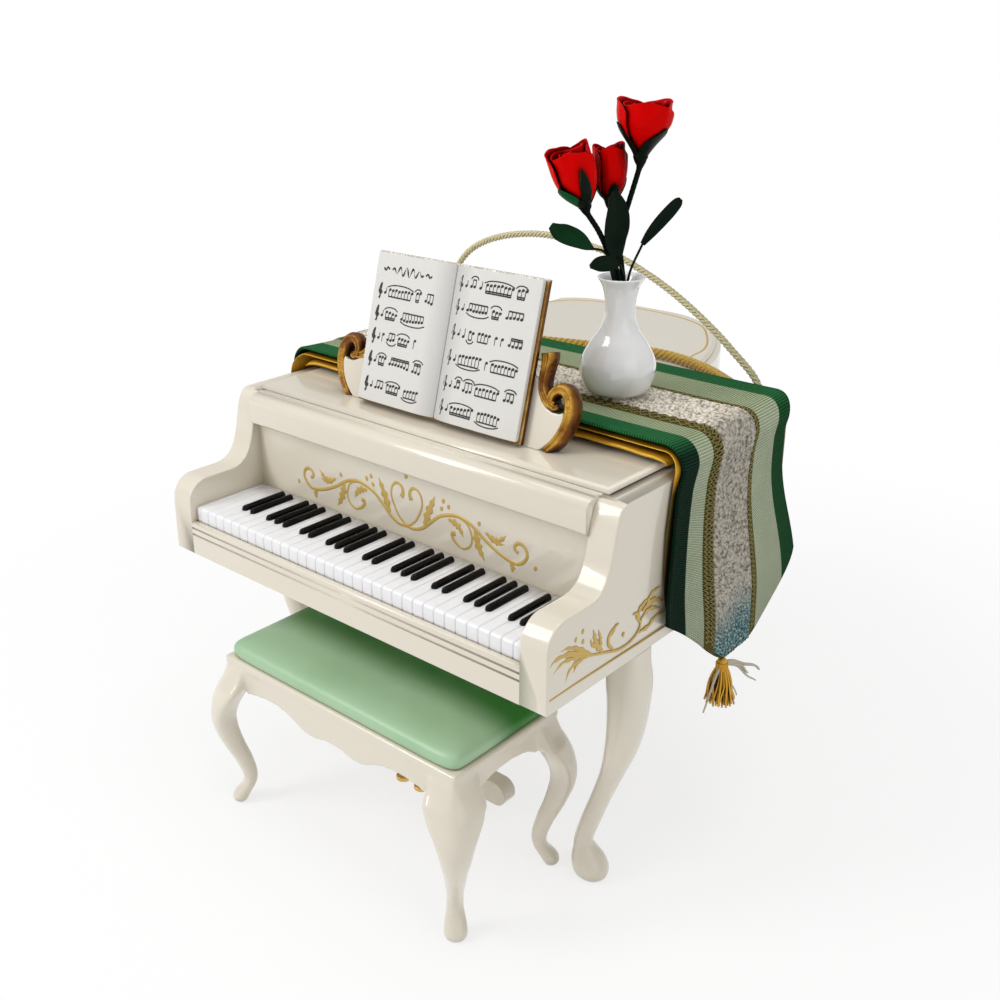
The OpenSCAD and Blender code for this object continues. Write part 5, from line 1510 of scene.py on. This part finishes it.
SIDE_SPRAY = [
    ([(4.1, 54.0), (6.9, 52.6), (10.2, 51.3), (13.4, 50.3), (16.7, 49.3), (19.3, 49.2),
      (21.3, 49.8), (22.3, 50.8), (22.4, 51.9)], 0.42, "even"),
    ([(10.2, 51.5), (6.2, 53.3), (3.2, 54.1), (1.2, 54.0), (0.3, 53.0)], 0.85, "leaf"),
    ([(9.8, 51.8), (6.8, 53.8), (4.6, 54.8), (2.9, 55.0)], 0.6, "leaf"),
    ([(8.6, 51.9), (5.4, 52.8), (3.2, 53.0), (1.4, 52.2)], 0.6, "leaf"),
    ([(9.6, 51.5), (6.9, 51.7), (5.1, 51.2), (4.2, 49.8)], 0.65, "leaf"),
    ([(8.0, 51.8), (6.6, 51.2), (6.0, 50.4)], 0.45, "leaf"),
    ([(12.9, 50.6), (11.3, 52.6), (10.4, 55.2)], 0.9, "leaf"),
    ([(12.4, 51.0), (12.2, 53.0), (11.7, 54.6)], 0.6, "leaf"),
    ([(11.6, 52.0), (10.3, 52.9), (9.8, 54.0)], 0.5, "leaf"),
    ([(15.6, 49.8), (14.3, 51.2), (14.4, 52.6), (15.6, 53.4), (16.6, 53.7)], 0.5, "taper"),
    ([(14.4, 52.4), (15.4, 52.9), (16.0, 53.9)], 0.5, "leaf"),
    ([(22.4, 51.4), (21.6, 52.8), (22.6, 54.2), (24.6, 54.7)], 0.7, "leaf"),
    ([(22.6, 53.2), (25.2, 54.0), (28.4, 52.8)], 0.8, "leaf"),
    ([(22.4, 52.0), (24.8, 52.8), (27.6, 51.8)], 0.65, "leaf"),
    ([(22.0, 52.6), (21.2, 53.4), (20.2, 53.6)], 0.5, "leaf"),
    ([(23.6, 53.6), (25.0, 55.2), (27.2, 55.6)], 0.55, "leaf"),
    ([(21.5, 50.0), (24.5, 49.9), (26.3, 50.8), (29.0, 50.8)], 0.6, "leaf"),
    ([(0.7, 48.3), (6.4, 48.3), (12.3, 48.2), (18.6, 48.1), (25.1, 48.0), (40.0, 48.0),
      (57.0, 48.0)], 0.3, "even"),
]  # fmt: skip
SIDE_DOTS = [(6.3, 55.4), (7.9, 56.0), (8.0, 54.4), (18.0, 51.3)]
TAIL_LINE = [
    (-38.0, 78), (-38.0, 90), (-37.9, 97.5), (-36.2, 103.5), (-32.4, 107.4), (-27.5, 109.0),
    (-17.6, 109.1), (-9.5, 108.7), (-3.5, 107.1), (0.9, 104.6), (4.6, 100.1), (8.5, 94.0),
    (10.6, 88.8), (11.1, 84.0), (12.0, 80.5),
]  # fmt: skip


def printed(line, wide, place, groove=0.0, height=PRINT_H):
    """Rings of one raised line of the gold."""
    return ribbon(line, wide, height, place, 2.0, groove, 7, 0.05)


def strokes_of(lines, place):
    """Rings for strokes given as (points, full width, how it thins)."""
    made_of = []
    for points, width, form in lines:
        line = smooth_path(points, 8 * len(points) + 6)
        t = np.linspace(0, 1, len(line))
        share = {
            "leaf": 0.08 + np.sin(np.pi * t**0.8) ** 0.8 * (1 + 0.3 * np.sin(t * 26)),
            "taper": 0.45 + 0.75 * np.sin(np.pi * np.clip(t * 0.9 + 0.1, 0, 1)),
            "blob": 0.85 + 1.1 * t**7,
            "even": 1 + 0 * t,
        }
        groove = 0.45 if form == "leaf" else 0.0
        made_of.append(printed(line, width * share[form], place, groove))
    return made_of


def dots(places, radius, place):
    """Small raised dots."""
    t = np.linspace(-1, 1, 9)
    wide = 2 * radius * np.sqrt(1.03 - t**2) * 0.8
    lean = radius * np.column_stack([0.3 * t, t])
    return [printed(lean + spot, wide, place) for spot in places]


def on_fallboard(sign):
    """Places strokes of one half of the fallboard's spray."""
    return lambda x, z, height: spots(sign * x - 0.1, FALL_FRONT - height, z)


def on_side(sign):
    """Places strokes on a side of the case, and round its front edge of radius ARM_EDGE."""

    def place(y, z, height):
        short = np.clip(ARM_EDGE - y, 0, ARM_EDGE)
        drop = ARM_EDGE - np.sqrt(ARM_EDGE**2 - short**2)
        return spots(sign * (CASE_HALF - drop + height), y, z)

    return place


def on_lid(x, y, height):
    """Places strokes on the lid."""
    return spots(x, y, LID_TOP + height)


gold_print = gilt("printed_gold", srgb(204, 172, 92), srgb(150, 118, 56), 0.45, 0.35)
spray, sides = dots([(0, 65.5)], 0.5, on_fallboard(1)), []
for sign in (1, -1):
    half, side = on_fallboard(sign), on_side(sign)
    spray += strokes_of(HALF_SPRAY, half) + dots(SPRAY_DOTS, 0.42, half)
    sides += strokes_of(SIDE_SPRAY, side) + dots(SIDE_DOTS, 0.36, side)
tail_line = printed(smooth_path(TAIL_LINE, 170), 0.42, on_lid, height=0.1)
for name, grids in (("fallboard_spray", spray), ("side_sprays", sides), ("lid_line", [tail_line])):
    finished(surface(name, grids), "piano", "antique_gold", gold_print)

# ---- Floor and light ----
# A white table top that runs off white in the background, under a window, a glint, a ceiling
# lamp, a weak side lamp and a pale room.

TABLE, FLOOR_GLOW, GLOW_NEAR, GLOW_FAR, ROOM_LIGHT = 3.0, 0.72, 0.06, 0.2, 0.56


def seen_by(tree, *rays):
    """1 for the given kinds of ray and 0 for others."""
    seen = 0.0
    for kind in rays:
        seen = maths(tree, "MAXIMUM", seen, put(tree, "LightPath", {}, f"Is {kind} Ray"))
    return seen


floor_mesh = bpy.data.meshes.new("table_top")
sheet = [(-TABLE, -TABLE, 0), (TABLE, -TABLE, 0), (TABLE, TABLE, 0), (-TABLE, TABLE, 0)]
floor_mesh.from_pydata(sheet, [], [(0, 1, 2, 3)])
floor = placed("table_top", floor_mesh)
white = (0.9, 0.9, 0.9, 1)
made, tree = material("white_table", Roughness=0.6, Base_Color=white, Specular_IOR_Level=0.2)
away = put(tree, "VectorMath", {0: position(tree)}, "Value", operation="LENGTH")
fade = between(tree, away, GLOW_NEAR, GLOW_FAR, FLOOR_GLOW, 1.0, "SMOOTHSTEP")
share = times(tree, seen_by(tree, "Camera", "Glossy", "Transmission"), fade)
glow = put(tree, "Emission", {"Color": (1, 1, 1, 1), "Strength": 1.0})
shader = tree.nodes["Principled BSDF"].outputs[0]
both = put(tree, "MixShader", {0: share, 1: shader, 2: glow})
feed(tree, tree.nodes["Material Output"], {"Surface": both})
floor_mesh.materials.append(made)

world = bpy.data.worlds.new("pale_room")
bpy.context.scene.world = world
world.use_nodes = True
tree = world.node_tree
seen = seen_by(tree, "Camera", "Transmission")
strength = maths(tree, "MULTIPLY_ADD", seen, 1 - ROOM_LIGHT, ROOM_LIGHT)
feed(tree, tree.nodes["Background"], {"Color": (1, 1, 1, 1), "Strength": strength})


def lamp(name, place, aim, wide, tall, power):
    """A flat lamp that faces a point; place and aim in millimetres."""
    light = placed(name, bpy.data.lights.new(name, "AREA"))
    light.data.shape = "RECTANGLE"
    light.data.size, light.data.size_y = wide, tall
    light.data.energy = power
    spot, goal = Vector(at(place).tolist()), Vector(at(aim).tolist())
    turn = (goal - spot).to_track_quat("-Z", "Y").to_matrix().to_4x4()
    light.matrix_world = Matrix.Translation(spot) @ turn


MIDDLE = (0, 40, 60)
lamp("window", (-260, -330, 420), MIDDLE, 0.2, 0.34, 1.14)
lamp("glint", (-175, -265, 180), (27, -3, 22), 0.06, 0.06, 0.12)
lamp("ceiling", (60, 60, 620), MIDDLE, 0.4, 0.4, 1.0)
lamp("side_fill", (420, -60, 200), MIDDLE, 0.3, 0.3, 0.18)
bpy.context.scene.view_settings.view_transform = "Standard"
